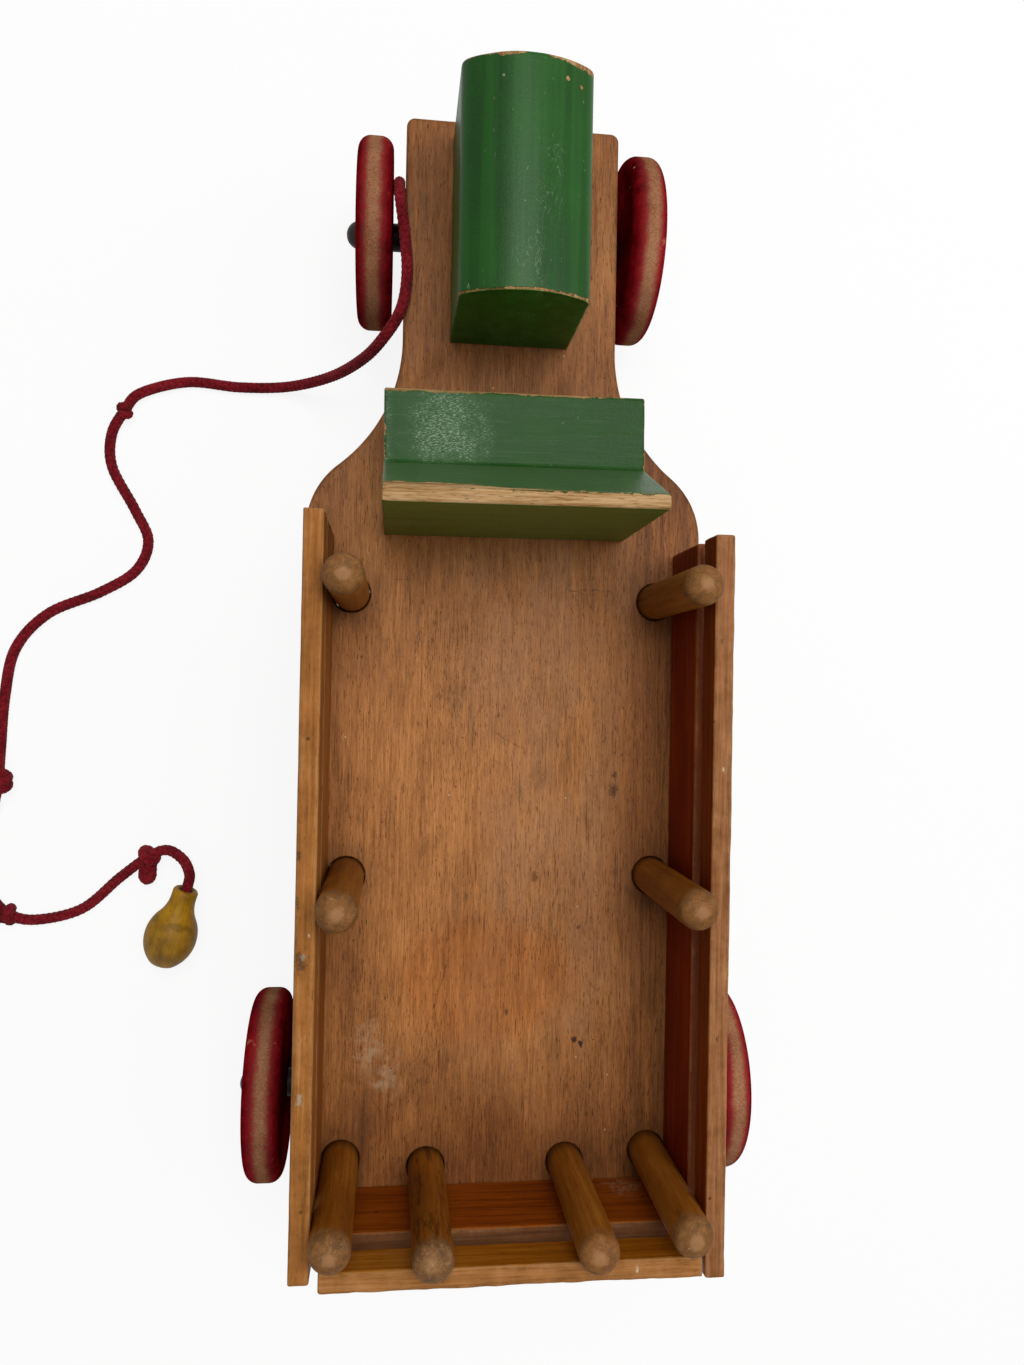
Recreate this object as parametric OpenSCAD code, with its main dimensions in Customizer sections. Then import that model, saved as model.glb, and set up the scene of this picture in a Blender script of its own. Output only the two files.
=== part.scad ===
// Wooden pull-along toy truck: an open stake-bed lorry on four disc wheels, with a
// knotted pull cord that ends in a turned wooden bead.
// X runs forward, Y to the left and Z up. The origin lies on the floor, under the
// middle of the deck. Places along the truck are measured back from its nose.

/* [Deck] */
// Length of the deck from nose to tail
deck_len = 390; // [370:1:420]
// Thickness of the deck board
deck_t = 12.7; // [10:0.1:16]
// Width of the nose, between the front wheels
nose_w = 77.2; // [72:0.2:88]
// Width of the bed behind the cab
bed_w = 142.6; // [132:0.2:156]
// Where the sides begin to flare, behind the nose
flare_start = 80; // [72:1:88]
// Length of the flare, from nose width to bed width
flare_len = 68; // [60:1:76]
// Radius of the hollow curve that starts the flare
flare_hollow_r = 58; // [48:1:60]
// Radius of the four outer corners
deck_corner_r = 3; // [1:0.5:6]

/* [Hood] */
// Length of the hood block
hood_len = 74; // [60:1:80]
// Width of the hood block
hood_w = 42.6; // [36:0.2:50]
// Height of the hood at the crown of its arch
hood_h = 52.3; // [46:0.1:60]
// Radius of the arched top
hood_arch_r = 34; // [30:1:50]
// Radius of the shoulders, where the arch turns into the sides
hood_shoulder_r = 5; // [2:0.5:8]
// Distance of the hood behind the nose
hood_set = 6.3; // [3:0.1:10]

/* [Seat] */
// Width of the bench seat across the truck
seat_w = 86; // [70:1:96]
// Height of the seat above the deck
seat_h = 31.2; // [26:0.1:36]
// Depth of the seat in front of the back
seat_depth = 24.4; // [20:0.1:28]
// Height of the back above the deck
seat_back_h = 65.4; // [58:0.1:72]
// Thickness of the back at its top
seat_back_top_t = 4.6; // [3:0.1:8]
// Thickness of the back at seat height
seat_back_foot_t = 19.2; // [15:0.1:24]
// Distance of the seat's front behind the nose
seat_set = 106; // [98:1:112]

/* [Stakes] */
// Diameter of the dowel stakes
stake_d = 12.7; // [10:0.1:14]
// Height of the stakes above the deck
stake_h = 64; // [60:0.5:74]
// Radius of the domed stake tops
stake_dome_r = 8; // [7.5:0.5:14]
// Chamfer at the foot of a stake
stake_foot_chamfer = 1; // [0.4:0.1:1.5]
// Height of the stake feet above the underside of the deck
stake_foot_lift = 1; // [0.5:0.1:3]
// Clearance of a stake in its hole, on the radius
stake_clear = 0.3; // [0.2:0.05:0.5]
// First stake of a side rack, behind the nose
first_stake_set = 171; // [164:1:180]
// Last stake of a side rack, ahead of the tail
last_stake_inset = 20; // [18:0.5:30]
// Spacing of the two tailgate stakes
gate_stake_pitch = 49.8; // [40:0.2:70]

/* [Slats] */
// Thickness of the slats
slat_t = 6.4; // [4.5:0.1:8]
// Height of the lower slats
lower_slat_h = 31.5; // [24:0.5:36]
// Open gap between lower and upper slat
slat_gap = 7.2; // [4:0.1:12]
// Height of the upper slats
upper_slat_h = 13; // [10:0.5:16]
// Rounding of the long slat edges
slat_edge_r = 0.8; // [0.3:0.1:1.5]
// Margin of deck outside the side slats
slat_margin = 3.7; // [2:0.1:6]
// Reach of a side slat ahead of its first stake
slat_front_reach = 19; // [12:0.5:22]
// Margin of deck behind the slats
tail_margin = 4; // [2:0.1:8]
// Left slats ahead of their even place, and right slats behind it
slat_stagger = 1.7; // [0:0.1:3]
// Gap between the tailgate's left end and the left slats
gate_left_gap = 2.75; // [1:0.05:5]
// Gap between the tailgate's right end and the right slats
gate_right_gap = 1.45; // [1:0.05:5]
// Height of the tailgate's upper slat over those of the sides
gate_upper_lift = 2; // [0:0.1:3]
// Seating gap between a slat and a round stake
slat_seat_gap = 0.05; // [0.03:0.01:0.1]

/* [Brads] */
// Diameter of the brads that hold slats to stakes
brad_d = 1.4; // [1:0.1:1.8]
// Diameter of the brad heads
brad_head_d = 2.8; // [2.2:0.1:3.6]
// Thickness of the brad heads
brad_head_t = 1; // [0.6:0.1:1.4]
// Bite of a brad into the stake
brad_bite = 7.5; // [5:0.5:9]
// Distance of the lower slat's brads from its edges
brad_edge = 7; // [5:0.5:9]
// Clearance of a driven brad or screw in wood, on the radius
driven_clear = 0.02; // [0.01:0.01:0.05]

/* [Wheels] */
// Diameter of the wheels
wheel_d = 68; // [60:1:74]
// Thickness of the wheels
wheel_t = 12.9; // [11:0.1:16]
// Radius of the rounded tread edges
wheel_edge_r = 4.6; // [2:0.1:5.4]
// Front axle, behind the nose
front_axle_set = 32.5; // [30:0.5:40]
// Rear axle, ahead of the tail
rear_axle_inset = 38.2; // [34:0.2:50]
// Rear axle's middle, right of the truck's middle
rear_axle_shift = 2; // [0:0.1:3]
// Running clearance of a wheel on its screw, on the radius
wheel_clear = 0.08; // [0.04:0.01:0.1]
// End play on each side of a wheel and of its spacer
end_play = 0.2; // [0.1:0.05:0.3]

/* [Axles] */
// Section of the square axle blocks, along the truck
block_w = 25.4; // [20:0.2:28]
// Height of the axle blocks
block_h = 25.4; // [22:0.2:30]
// Reach of the rear block past the bed, on each side
rear_block_reach = 2; // [0:0.1:6]
// Diameter of the axle screws
axle_d = 5; // [4:0.1:6]
// Length of an axle screw inside its block
axle_bite = 30; // [24:1:34]
// Diameter of the domed axle screw heads
axle_head_d = 10; // [8:0.1:12]
// Height of the axle screw heads
axle_head_h = 4.2; // [3:0.1:4.9]
// Width of the screwdriver slots
slot_w = 1.3; // [0.8:0.1:1.8]
// Depth of the screwdriver slots
slot_depth = 1.5; // [0.8:0.1:2]
// Diameter of the spacers between block and wheel
spacer_d = 10; // [8.5:0.1:12]
// Length of the spacers
spacer_len = 4.1; // [3.9:0.1:8]

/* [Screws] */
// Diameter of the countersunk wood screws
screw_d = 3.6; // [3:0.1:4.2]
// Diameter of their heads
screw_head_d = 7; // [6:0.1:8]
// Bite of the hood and seat screws above the deck
screw_bite = 18; // [12:1:22]
// Bite of the axle block screws into the deck
block_screw_bite = 8.5; // [6:0.5:9]
// Rear hood screw, ahead of the hood's rear face
hood_screw_inset = 9; // [7:0.5:11]
// Spacing of the two hood screws
hood_screw_pitch = 15; // [12:0.5:18]
// Spacing of the two seat screws
seat_screw_pitch = 52; // [40:1:60]
// Seat screws, behind the seat's front
seat_screw_set = 22; // [16:0.5:30]
// Distance of an axle block screw to either side of the axle
block_screw_offset = 7; // [6.2:0.1:7.4]
// Share of a block's half length at which its screws sit
block_screw_share = 0.55; // [0.4:0.05:0.7]

/* [Screw eye] */
// Diameter of the eye's wire
eye_wire = 2.4; // [1.8:0.1:3]
// Clear width inside the eye
eye_in_d = 7.2; // [6:0.1:8]
// Shank showing between the block and the eye
eye_stem = 1.5; // [0.5:0.1:3]
// Bite of the eye's shank into the block
eye_bite = 12; // [8:0.5:14]

/* [Pull cord] */
// Diameter of the cord
cord_d = 4.1; // [3:0.1:4.2]
// Length of the bead
bead_len = 31.5; // [27:0.1:34]
// Widest diameter of the bead
bead_d = 20; // [18:0.1:20.2]
// Diameter of the bead's neck
bead_neck_d = 9.6; // [8:0.1:11]
// Diameter of the flat far end of the bead
bead_end_d = 9.4; // [7:0.1:11]
// Length of the straight neck
bead_neck_len = 3.6; // [2:0.1:5]
// Place of the widest part, from the neck's end
bead_belly_at = 20.2; // [17:0.1:22]
// Radius of the hollow between neck and belly
bead_hollow_r = 14; // [8:0.5:15]
// Depth of the blind bore that takes the cord
bead_bore_depth = 20; // [14:0.5:24]
// Clearance of the cord in the bead, on the radius
bead_clear = 0.2; // [0.1:0.05:0.5]

/* [Hidden] */
$fn = 96;

axle_z = wheel_d / 2;
deck_z = axle_z + block_h / 2;
top_z = deck_z + deck_t;

// X of a place measured back from the nose
function back(distance) = deck_len / 2 - distance;

front_axle_x = back(front_axle_set);
rear_axle_x = back(deck_len - rear_axle_inset);
wheel_gap = spacer_len + 2 * end_play;
front_block_end = nose_w / 2;
rear_block_end = bed_w / 2 + rear_block_reach;
axle_reach = wheel_gap + wheel_t + end_play;

slat_in_y = bed_w / 2 - slat_margin - slat_t;
stake_y = slat_in_y - slat_seat_gap - stake_d / 2;
side_stake_x = [
    back(first_stake_set),
    back((first_stake_set + deck_len - last_stake_inset) / 2),
    back(deck_len - last_stake_inset)
];
slat_front_x = side_stake_x[0] + slat_front_reach;
slat_rear_x = back(deck_len - tail_margin);
gate_in_x = slat_rear_x + slat_t;
gate_stake_x = gate_in_x + slat_seat_gap + stake_d / 2;
gate_right_y = gate_right_gap - slat_in_y;
gate_left_y = slat_in_y - gate_left_gap;
gate_stake_y = [-gate_stake_pitch / 2, gate_stake_pitch / 2];
upper_slat_z = lower_slat_h + slat_gap;
lower_brad_z = [brad_edge, lower_slat_h - brad_edge];
upper_brad_z = [upper_slat_z + upper_slat_h / 2];

hood_rear_x = back(hood_set + hood_len);
hood_screw_x = [hood_rear_x + hood_screw_inset, hood_rear_x + hood_screw_inset + hood_screw_pitch];
seat_screw_x = back(seat_set + seat_screw_set);
seat_screw_y = [-seat_screw_pitch / 2, seat_screw_pitch / 2];
screw_head_h = (screw_head_d - screw_d) / 2;
eye_r = (eye_in_d + eye_wire) / 2;
eye_x = front_axle_x + block_w / 2 + eye_stem + eye_r + eye_wire / 2;

// The bead lies on its belly, neck tipped up, pointing back and outward
bead_heading = 162;
bead_tip = 8;
bead_axis = [cos(bead_heading) * cos(bead_tip), sin(bead_heading) * cos(bead_tip), -sin(bead_tip)];
bead_neck = [-88.9, 118.1, 13];
function on_bead(distance) = bead_neck + distance * bead_axis;

// Route of the cord, from the stopper knot behind the screw eye to the bead
cord_route = [
    [182.7, -5.2, 34],
    [182.6, 6, 33.4],
    [181.4, 23, 31],
    [179, 34, 32.5],
    [177.5, 39.5, 38.5],
    [176, 40.8, 45.5],
    [173.5, 40.8, 54.5],
    [166, 40.6, 61.8],
    [152.5, 38.7, 61.9],
    [138, 37.5, 61.7],
    [125, 39.3, 62.6],
    [115.5, 45, 60.3],
    [112, 53, 45],
    [112, 66, 21.5],
    [112, 84, 5],
    [111.5, 103.5, 2.3],
    [112.5, 124, 2.3],
    [107, 142, 2.8],
    [99.4, 147.9, 3.6],
    [90, 153, 2.3],
    [77, 152.5, 2.15],
    [60.5, 143.5, 2.15],
    [48, 138, 2.15],
    [36, 142.5, 2.15],
    [27, 156, 2.15],
    [18, 175.5, 2.15],
    [4, 187.5, 2.15],
    [-15, 191.2, 2.15],
    [-36, 192, 3.2],
    [-49.5, 191.8, 5.8],
    [-62, 195, 3.2],
    [-77, 198.6, 2.3],
    [-92, 195, 2.6],
    [-100, 187, 4.4],
    [-102.7, 177, 2.4],
    [-98.5, 160, 2.15],
    [-86.2, 145.8, 3.1],
    [-77.2, 134, 6.1],
    [-74.6, 126.8, 7.4],
    [-77.6, 120.4, 10.4],
    [-82.2, 117.3, 12.9],
    on_bead(-2.5),
    on_bead(9),
    on_bead(bead_bore_depth - 1)
];
cord_sides = 8;
rings_per_span = 2;
cord_last = len(cord_route) - 1;

// Knots: place in the route, and radius of the wrap round the cord
knots = [[0, 2.2], [18, 1.4], [29, 3.5], [33, 2.1], [37, 2.9]];
knot_tail_d = 5.6;
knot_tail_len = 9;
knot_tail_heading = 172;

function clamped(i) = cord_route[max(0, min(cord_last, i))];
function route_point(i, t) =
    let (a = clamped(i - 1), b = clamped(i), c = clamped(i + 1), d = clamped(i + 2))
    b + 0.5 * t * ((c - a) + t * ((2 * a - 5 * b + 4 * c - d) + t * (3 * (b - c) + d - a)));
cord_path = [
    for (i = [0 : cord_last - 1], k = [0 : rings_per_span - 1]) route_point(i, k / rings_per_span),
    cord_route[cord_last]
];
function unit(v) = v / norm(v);
function along(p, i) = unit(p[min(i + 1, len(p) - 1)] - p[max(i - 1, 0)]);

// Side direction of each ring, carried along so that the tube never twists
function carried(v, t) = unit(v - (v * t) * t);
function sides_from(p, i, v) = i == len(p) ? [] :
    let (s = carried(v, along(p, i))) concat([s], sides_from(p, i + 1, s));

deck_wood = "#a2612f";
slat_wood = "#7c4a2b";
stake_wood = "#b5793f";
green_paint = "#4d7040";
red_paint = "#8f2229";
block_wood = "#b98a55";
dark_steel = "#4a4642";
cord_red = "#6e1a24";
bead_yellow = "#a67c1f";

// Area under a double curve that rises from lo to hi, hollow first and then crowned
module ogee(run, lo, hi, hollow_r) {
    rise = hi - lo;
    radii = (run * run + rise * rise) / (2 * rise);
    share = hollow_r / radii;
    crown_r = radii - hollow_r;
    difference() {
        square([share * run, lo + share * rise]);
        translate([0, lo + hollow_r]) circle(r = hollow_r);
    }
    translate([share * run, 0]) square([(1 - share) * run, lo + share * rise]);
    intersection() {
        translate([run, hi - crown_r]) circle(r = crown_r);
        translate([share * run, lo + share * rise]) square([(1 - share) * run, (1 - share) * rise]);
    }
    // A short straight eases one arc into the other
    ease = 3;
    translate([share * run, lo + share * rise]) rotate(2 * atan(rise / run) - ease)
        translate([-0.15 * hollow_r, -lo / 4]) square([0.15 * hollow_r + 0.05 * crown_r, lo / 4 + 0.02]);
}

// Rectangle with its corners rounded at the low X end only
module end_rounded(size, r) {
    translate([r, -size[1] / 2]) square([size[0] - r, size[1]]);
    translate([0, r - size[1] / 2]) square([2 * r, size[1] - 2 * r]);
    for (s = [-1, 1]) translate([r, s * (size[1] / 2 - r)]) circle(r = r);
}

module deck_outline() {
    translate([deck_len / 2, 0]) mirror([1, 0]) {
        end_rounded([flare_start + flare_len / 2, nose_w], deck_corner_r);
        for (s = [0, 1]) mirror([0, s]) translate([flare_start, 0])
            ogee(flare_len, nose_w / 2, bed_w / 2, flare_hollow_r);
        translate([deck_len, 0]) mirror([1, 0])
            end_rounded([deck_len - flare_start - flare_len, bed_w], deck_corner_r);
    }
}

module stake_holes() {
    hole_d = stake_d + 2 * stake_clear;
    for (x = side_stake_x, s = [-1, 1])
        translate([x, s * stake_y, deck_z - 1]) cylinder(d = hole_d, h = deck_t + 2);
    for (y = gate_stake_y)
        translate([gate_stake_x, y, deck_z - 1]) cylinder(d = hole_d, h = deck_t + 2);
}

// Countersunk screw standing on its head at z = 0, or its hole with a clearance
module wood_screw(reach, clear = 0) {
    tip = screw_d;
    rotate_extrude() polygon([
        [0, 0],
        [screw_head_d / 2 + clear, 0],
        [screw_d / 2 + clear, screw_head_h],
        [screw_d / 2 + clear, reach - tip],
        [0, reach + clear]
    ]);
}

module slotted_screw(reach) {
    difference() {
        wood_screw(reach);
        translate([-screw_head_d, -slot_w / 2, -1])
            cube([2 * screw_head_d, slot_w, 1 + min(slot_depth, screw_head_h) / 2]);
    }
}

module hood_screw_places() {
    for (x = hood_screw_x) translate([x, 0, deck_z]) children();
}

module seat_screw_places() {
    for (y = seat_screw_y) translate([seat_screw_x, y, deck_z]) children();
}

module on_rear_axle() {
    translate([0, -rear_axle_shift, 0]) children();
}

// Two screws to a block, one on either side of the axle
module block_screw_places(axle_x, block_end) {
    for (s = [-1, 1])
        translate([axle_x + s * block_screw_offset, s * block_screw_share * block_end, deck_z - block_h])
            children();
}

module deck() {
    color(deck_wood) difference() {
        translate([0, 0, deck_z]) linear_extrude(deck_t) deck_outline();
        stake_holes();
        hood_screw_places() wood_screw(deck_t + screw_bite, driven_clear);
        seat_screw_places() wood_screw(deck_t + screw_bite, driven_clear);
        block_screw_places(front_axle_x, front_block_end)
            wood_screw(block_h + block_screw_bite, driven_clear);
        on_rear_axle() block_screw_places(rear_axle_x, rear_block_end)
            wood_screw(block_h + block_screw_bite, driven_clear);
    }
}

// Cross-section of the hood: upright sides, rounded shoulders and a shallow arch
module hood_outline() {
    arch_z = hood_h - hood_arch_r;
    shoulder_y = hood_w / 2 - hood_shoulder_r;
    swing = hood_arch_r - hood_shoulder_r;
    shoulder_z = arch_z + sqrt(swing * swing - shoulder_y * shoulder_y);
    meet_y = shoulder_y * hood_arch_r / swing;
    translate([-hood_w / 2, 0]) square([hood_w, shoulder_z]);
    intersection() {
        translate([0, arch_z]) circle(r = hood_arch_r);
        translate([-meet_y, shoulder_z - 1]) square([2 * meet_y, hood_h]);
    }
    for (s = [-1, 1]) translate([s * shoulder_y, shoulder_z]) circle(r = hood_shoulder_r);
}

module hood_block() {
    color(green_paint) difference() {
        translate([hood_rear_x, 0, top_z]) rotate([90, 0, 90]) linear_extrude(hood_len) hood_outline();
        hood_screw_places() wood_screw(deck_t + screw_bite, driven_clear);
    }
}

module bench_seat() {
    rear = -seat_depth - seat_back_foot_t;
    color(green_paint) difference() {
        translate([back(seat_set), seat_w / 2, top_z]) rotate([90, 0, 0]) linear_extrude(seat_w) polygon([
            [0, 0],
            [0, seat_h],
            [-seat_depth, seat_h],
            [rear + seat_back_top_t, seat_back_h],
            [rear, seat_back_h],
            [rear, 0]
        ]);
        seat_screw_places() wood_screw(deck_t + screw_bite, driven_clear);
    }
}

// Turns a shape made upright so that it points out along +Y
module outward(axle_x, y) {
    translate([axle_x, y, axle_z]) rotate([-90, 0, 0]) children();
}

module axle_bore(axle_x, block_end) {
    for (s = [0, 1]) mirror([0, s, 0]) outward(axle_x, block_end - axle_bite) axle_shank(driven_clear);
}

// Shank of an axle screw, point first, long enough to reach the head
module axle_shank(clear) {
    r = axle_d / 2 + clear;
    seat_z = axle_bite + axle_reach;
    rotate_extrude() polygon([[0, -clear], [r, axle_d], [r, seat_z], [0, seat_z]]);
}

module axle_block(axle_x, block_end) {
    difference() {
        translate([axle_x - block_w / 2, -block_end, deck_z - block_h])
            cube([block_w, 2 * block_end, block_h]);
        axle_bore(axle_x, block_end);
        block_screw_places(axle_x, block_end) wood_screw(block_h + block_screw_bite, driven_clear);
    }
}

module front_axle_block() {
    color(block_wood) difference() {
        axle_block(front_axle_x, front_block_end);
        translate([front_axle_x + block_w / 2 - eye_bite, 0, axle_z]) rotate([0, 90, 0])
            cylinder(d = eye_wire + 2 * driven_clear, h = eye_bite + 1);
    }
}

module rear_axle_block() {
    color(block_wood) on_rear_axle() axle_block(rear_axle_x, rear_block_end);
}

// Disc wheel with a flat tread between two rounded edges
module wheel(axle_x, block_end) {
    r = wheel_d / 2;
    bore_r = axle_d / 2 + wheel_clear;
    color(red_paint) outward(axle_x, block_end + wheel_gap) rotate_extrude() {
        translate([bore_r, 0]) square([r - wheel_edge_r - bore_r, wheel_t]);
        translate([r - 2 * wheel_edge_r, wheel_edge_r])
            square([2 * wheel_edge_r, wheel_t - 2 * wheel_edge_r]);
        for (z = [wheel_edge_r, wheel_t - wheel_edge_r])
            translate([r - wheel_edge_r, z]) circle(r = wheel_edge_r);
    }
}

module axle_screw(axle_x, block_end) {
    dome_r = (axle_head_d * axle_head_d / 4 + axle_head_h * axle_head_h) / (2 * axle_head_h);
    seat_z = axle_bite + axle_reach;
    color(dark_steel) outward(axle_x, block_end - axle_bite) difference() {
        union() {
            axle_shank(0);
            translate([0, 0, seat_z]) rotate_extrude() intersection() {
                translate([0, axle_head_h - dome_r]) circle(r = dome_r);
                square([axle_head_d, axle_head_h]);
            }
        }
        translate([-axle_head_d, -slot_w / 2, seat_z + axle_head_h - slot_depth])
            cube([2 * axle_head_d, slot_w, slot_depth + 1]);
    }
}

module spacer(axle_x, block_end) {
    color(dark_steel) outward(axle_x, block_end + end_play) difference() {
        cylinder(d = spacer_d, h = spacer_len);
        translate([0, 0, -1]) cylinder(d = axle_d + 2 * wheel_clear, h = spacer_len + 2);
    }
}

module right_side() {
    mirror([0, 1, 0]) children();
}

// Brad driven inward (toward -Y) from a slat's outer face at y = slat_t
module brad(clear = 0) {
    depth = slat_t + slat_seat_gap + brad_bite;
    translate([0, slat_t + clear, 0]) rotate([90, 0, 0]) {
        cylinder(d = brad_head_d + 2 * clear, h = brad_head_t + 2 * clear);
        cylinder(d = brad_d + 2 * clear, h = depth + 2 * clear);
    }
}

// Slat along X with its inner face at y = 0, drilled at the stakes
module slat(from, to, z, height, stakes, brad_heights) {
    r = slat_edge_r;
    color(slat_wood) difference() {
        translate([from, 0, top_z + z]) rotate([90, 0, 90]) linear_extrude(to - from) {
            translate([r, 0]) square([slat_t - 2 * r, height]);
            translate([0, r]) square([slat_t, height - 2 * r]);
            for (y = [r, slat_t - r], h = [r, height - r]) translate([y, h]) circle(r = r);
        }
        for (x = stakes, h = brad_heights) translate([x, 0, top_z + h]) brad(driven_clear);
    }
}

// Dowel with a domed top, drilled for the brads that come from +Y
module stake() {
    r = stake_d / 2;
    foot = stake_foot_lift - deck_t;
    shoulder = stake_h - stake_dome_r + sqrt(stake_dome_r * stake_dome_r - r * r);
    color(stake_wood) translate([0, -slat_seat_gap - r, top_z]) difference() {
        rotate_extrude() {
            polygon([
                [0, foot],
                [r - stake_foot_chamfer, foot],
                [r, foot + stake_foot_chamfer],
                [r, shoulder],
                [0, shoulder]
            ]);
            intersection() {
                translate([0, stake_h - stake_dome_r]) circle(r = stake_dome_r);
                translate([0, shoulder]) square([r, stake_h - shoulder]);
            }
        }
        for (h = concat(lower_brad_z, upper_brad_z))
            translate([0, slat_seat_gap + r, h]) brad(driven_clear);
    }
}

module brads(stakes) {
    color(dark_steel) for (x = stakes, h = concat(lower_brad_z, upper_brad_z))
        translate([x, 0, top_z + h]) brad();
}

// A rack is laid out along X with its slats facing +Y, then put in its place
module left_rack() {
    translate([0, slat_in_y, 0]) children();
}

module tailgate() {
    translate([gate_in_x, 0, 0]) rotate([0, 0, 90]) children();
}

module side_lower_slat(ahead) {
    left_rack()
        slat(slat_rear_x + ahead, slat_front_x + ahead, 0, lower_slat_h, side_stake_x, lower_brad_z);
}

module side_upper_slat(ahead) {
    left_rack()
        slat(slat_rear_x + ahead, slat_front_x + ahead, upper_slat_z, upper_slat_h,
            side_stake_x, upper_brad_z);
}

module side_stake(i) {
    left_rack() translate([side_stake_x[i], 0, 0]) stake();
}

module tailgate_lower_slat() {
    tailgate() slat(gate_right_y, gate_left_y, 0, lower_slat_h, gate_stake_y, lower_brad_z);
}

module tailgate_upper_slat() {
    tailgate()
        slat(gate_right_y, gate_left_y, upper_slat_z + gate_upper_lift, upper_slat_h,
            gate_stake_y, upper_brad_z);
}

module tailgate_stake(i) {
    tailgate() translate([gate_stake_y[i], 0, 0]) stake();
}

module hood_screws() {
    color(dark_steel) hood_screw_places() slotted_screw(deck_t + screw_bite);
}

module seat_screws() {
    color(dark_steel) seat_screw_places() slotted_screw(deck_t + screw_bite);
}

module axle_block_screws() {
    color(dark_steel) {
        block_screw_places(front_axle_x, front_block_end) slotted_screw(block_h + block_screw_bite);
        on_rear_axle() block_screw_places(rear_axle_x, rear_block_end)
            slotted_screw(block_h + block_screw_bite);
    }
}

// Ring standing upright along the truck, its shank driven into the front axle block
module screw_eye() {
    shank = eye_bite + eye_stem + eye_wire / 2;
    color(dark_steel) {
        translate([eye_x, 0, axle_z]) rotate([90, 0, 0])
            rotate_extrude() translate([eye_r, 0]) circle(d = eye_wire);
        translate([eye_x - eye_r - shank, 0, axle_z]) rotate([0, 90, 0])
            cylinder(d = eye_wire, h = shank);
    }
}

// Tube swept along the route, ring by ring
module pull_cord() {
    count = len(cord_path);
    side = sides_from(cord_path, 0, [1, 0, 0]);
    points = [
        for (i = [0 : count - 1], k = [0 : cord_sides - 1])
            let (a = 360 * k / cord_sides, other = cross(along(cord_path, i), side[i]))
            cord_path[i] + cord_d / 2 * (cos(a) * side[i] + sin(a) * other)
    ];
    walls = [
        for (i = [0 : count - 2], k = [0 : cord_sides - 1])
            let (a = i * cord_sides + k, b = i * cord_sides + (k + 1) % cord_sides)
            each [[a, a + cord_sides, b], [b, a + cord_sides, b + cord_sides]]
    ];
    first = [for (k = [0 : cord_sides - 1]) k];
    last = [for (k = [cord_sides - 1 : -1 : 0]) (count - 1) * cord_sides + k];
    color(cord_red) polyhedron(points = points, faces = concat(walls, [first, last]));
}

// Three lobes of cord drawn tight round the standing part, each a third of a turn on
module knot(wrap_r) {
    lobe_out = 0.6 * wrap_r;
    lobe_r = wrap_r + cord_d / 2 - lobe_out;
    for (k = [-1 : 1]) rotate([0, 0, 120 * k])
        translate([lobe_out, 0, 0.55 * cord_d * k]) sphere(r = lobe_r);
}

module cord_knots() {
    color(cord_red) {
        for (k = knots) {
            t = along(cord_route, k[0]);
            translate(cord_route[k[0]]) rotate([0, acos(t[2]), atan2(t[1], t[0])]) knot(k[1]);
        }
        translate(cord_route[knots[4][0]] - [0, 0, 1.5]) rotate([0, 90, knot_tail_heading]) {
            cylinder(d = knot_tail_d, h = knot_tail_len);
            translate([0, 0, knot_tail_len]) sphere(d = knot_tail_d);
        }
    }
}

// Turned pear: straight neck, hollow, belly and a flat end, with a blind bore
module bead_outline() {
    run = bead_len - bead_belly_at;
    drop = (bead_d - bead_end_d) / 2;
    belly_r = (run * run + drop * drop) / (2 * drop);
    square([bead_neck_len, bead_neck_d / 2]);
    translate([bead_neck_len, 0])
        ogee(bead_belly_at - bead_neck_len, bead_neck_d / 2, bead_d / 2, bead_hollow_r);
    intersection() {
        translate([bead_belly_at, bead_d / 2 - belly_r]) circle(r = belly_r);
        translate([bead_belly_at, 0]) square([run, bead_d]);
    }
}

module pull_bead() {
    bore_r = cord_d / 2 + bead_clear;
    color(bead_yellow) translate(bead_neck) rotate([0, 90 + bead_tip, bead_heading])
        rotate_extrude() difference() {
            mirror([1, -1]) bead_outline();
            translate([0, -1]) square([bore_r, bead_bore_depth + 1]);
        }
}

deck();
hood_block();
bench_seat();
front_axle_block();
rear_axle_block();
wheel(front_axle_x, front_block_end);  // front_left_wheel
right_side() wheel(front_axle_x, front_block_end);  // front_right_wheel
on_rear_axle() wheel(rear_axle_x, rear_block_end);  // rear_left_wheel
on_rear_axle() right_side() wheel(rear_axle_x, rear_block_end);  // rear_right_wheel
axle_screw(front_axle_x, front_block_end);  // front_left_axle_screw
right_side() axle_screw(front_axle_x, front_block_end);  // front_right_axle_screw
on_rear_axle() axle_screw(rear_axle_x, rear_block_end);  // rear_left_axle_screw
on_rear_axle() right_side() axle_screw(rear_axle_x, rear_block_end);  // rear_right_axle_screw
spacer(front_axle_x, front_block_end);  // front_left_spacer
right_side() spacer(front_axle_x, front_block_end);  // front_right_spacer
on_rear_axle() spacer(rear_axle_x, rear_block_end);  // rear_left_spacer
on_rear_axle() right_side() spacer(rear_axle_x, rear_block_end);  // rear_right_spacer
side_lower_slat(slat_stagger);  // left_lower_slat
side_upper_slat(slat_stagger);  // left_upper_slat
side_stake(0);  // left_front_stake
side_stake(1);  // left_middle_stake
side_stake(2);  // left_rear_stake
right_side() side_lower_slat(-slat_stagger);  // right_lower_slat
right_side() side_upper_slat(-slat_stagger);  // right_upper_slat
right_side() side_stake(0);  // right_front_stake
right_side() side_stake(1);  // right_middle_stake
right_side() side_stake(2);  // right_rear_stake
tailgate_lower_slat();
tailgate_upper_slat();
tailgate_stake(1);  // tailgate_left_stake
tailgate_stake(0);  // tailgate_right_stake
left_rack() brads(side_stake_x);  // left_rack_brads
right_side() left_rack() brads(side_stake_x);  // right_rack_brads
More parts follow.
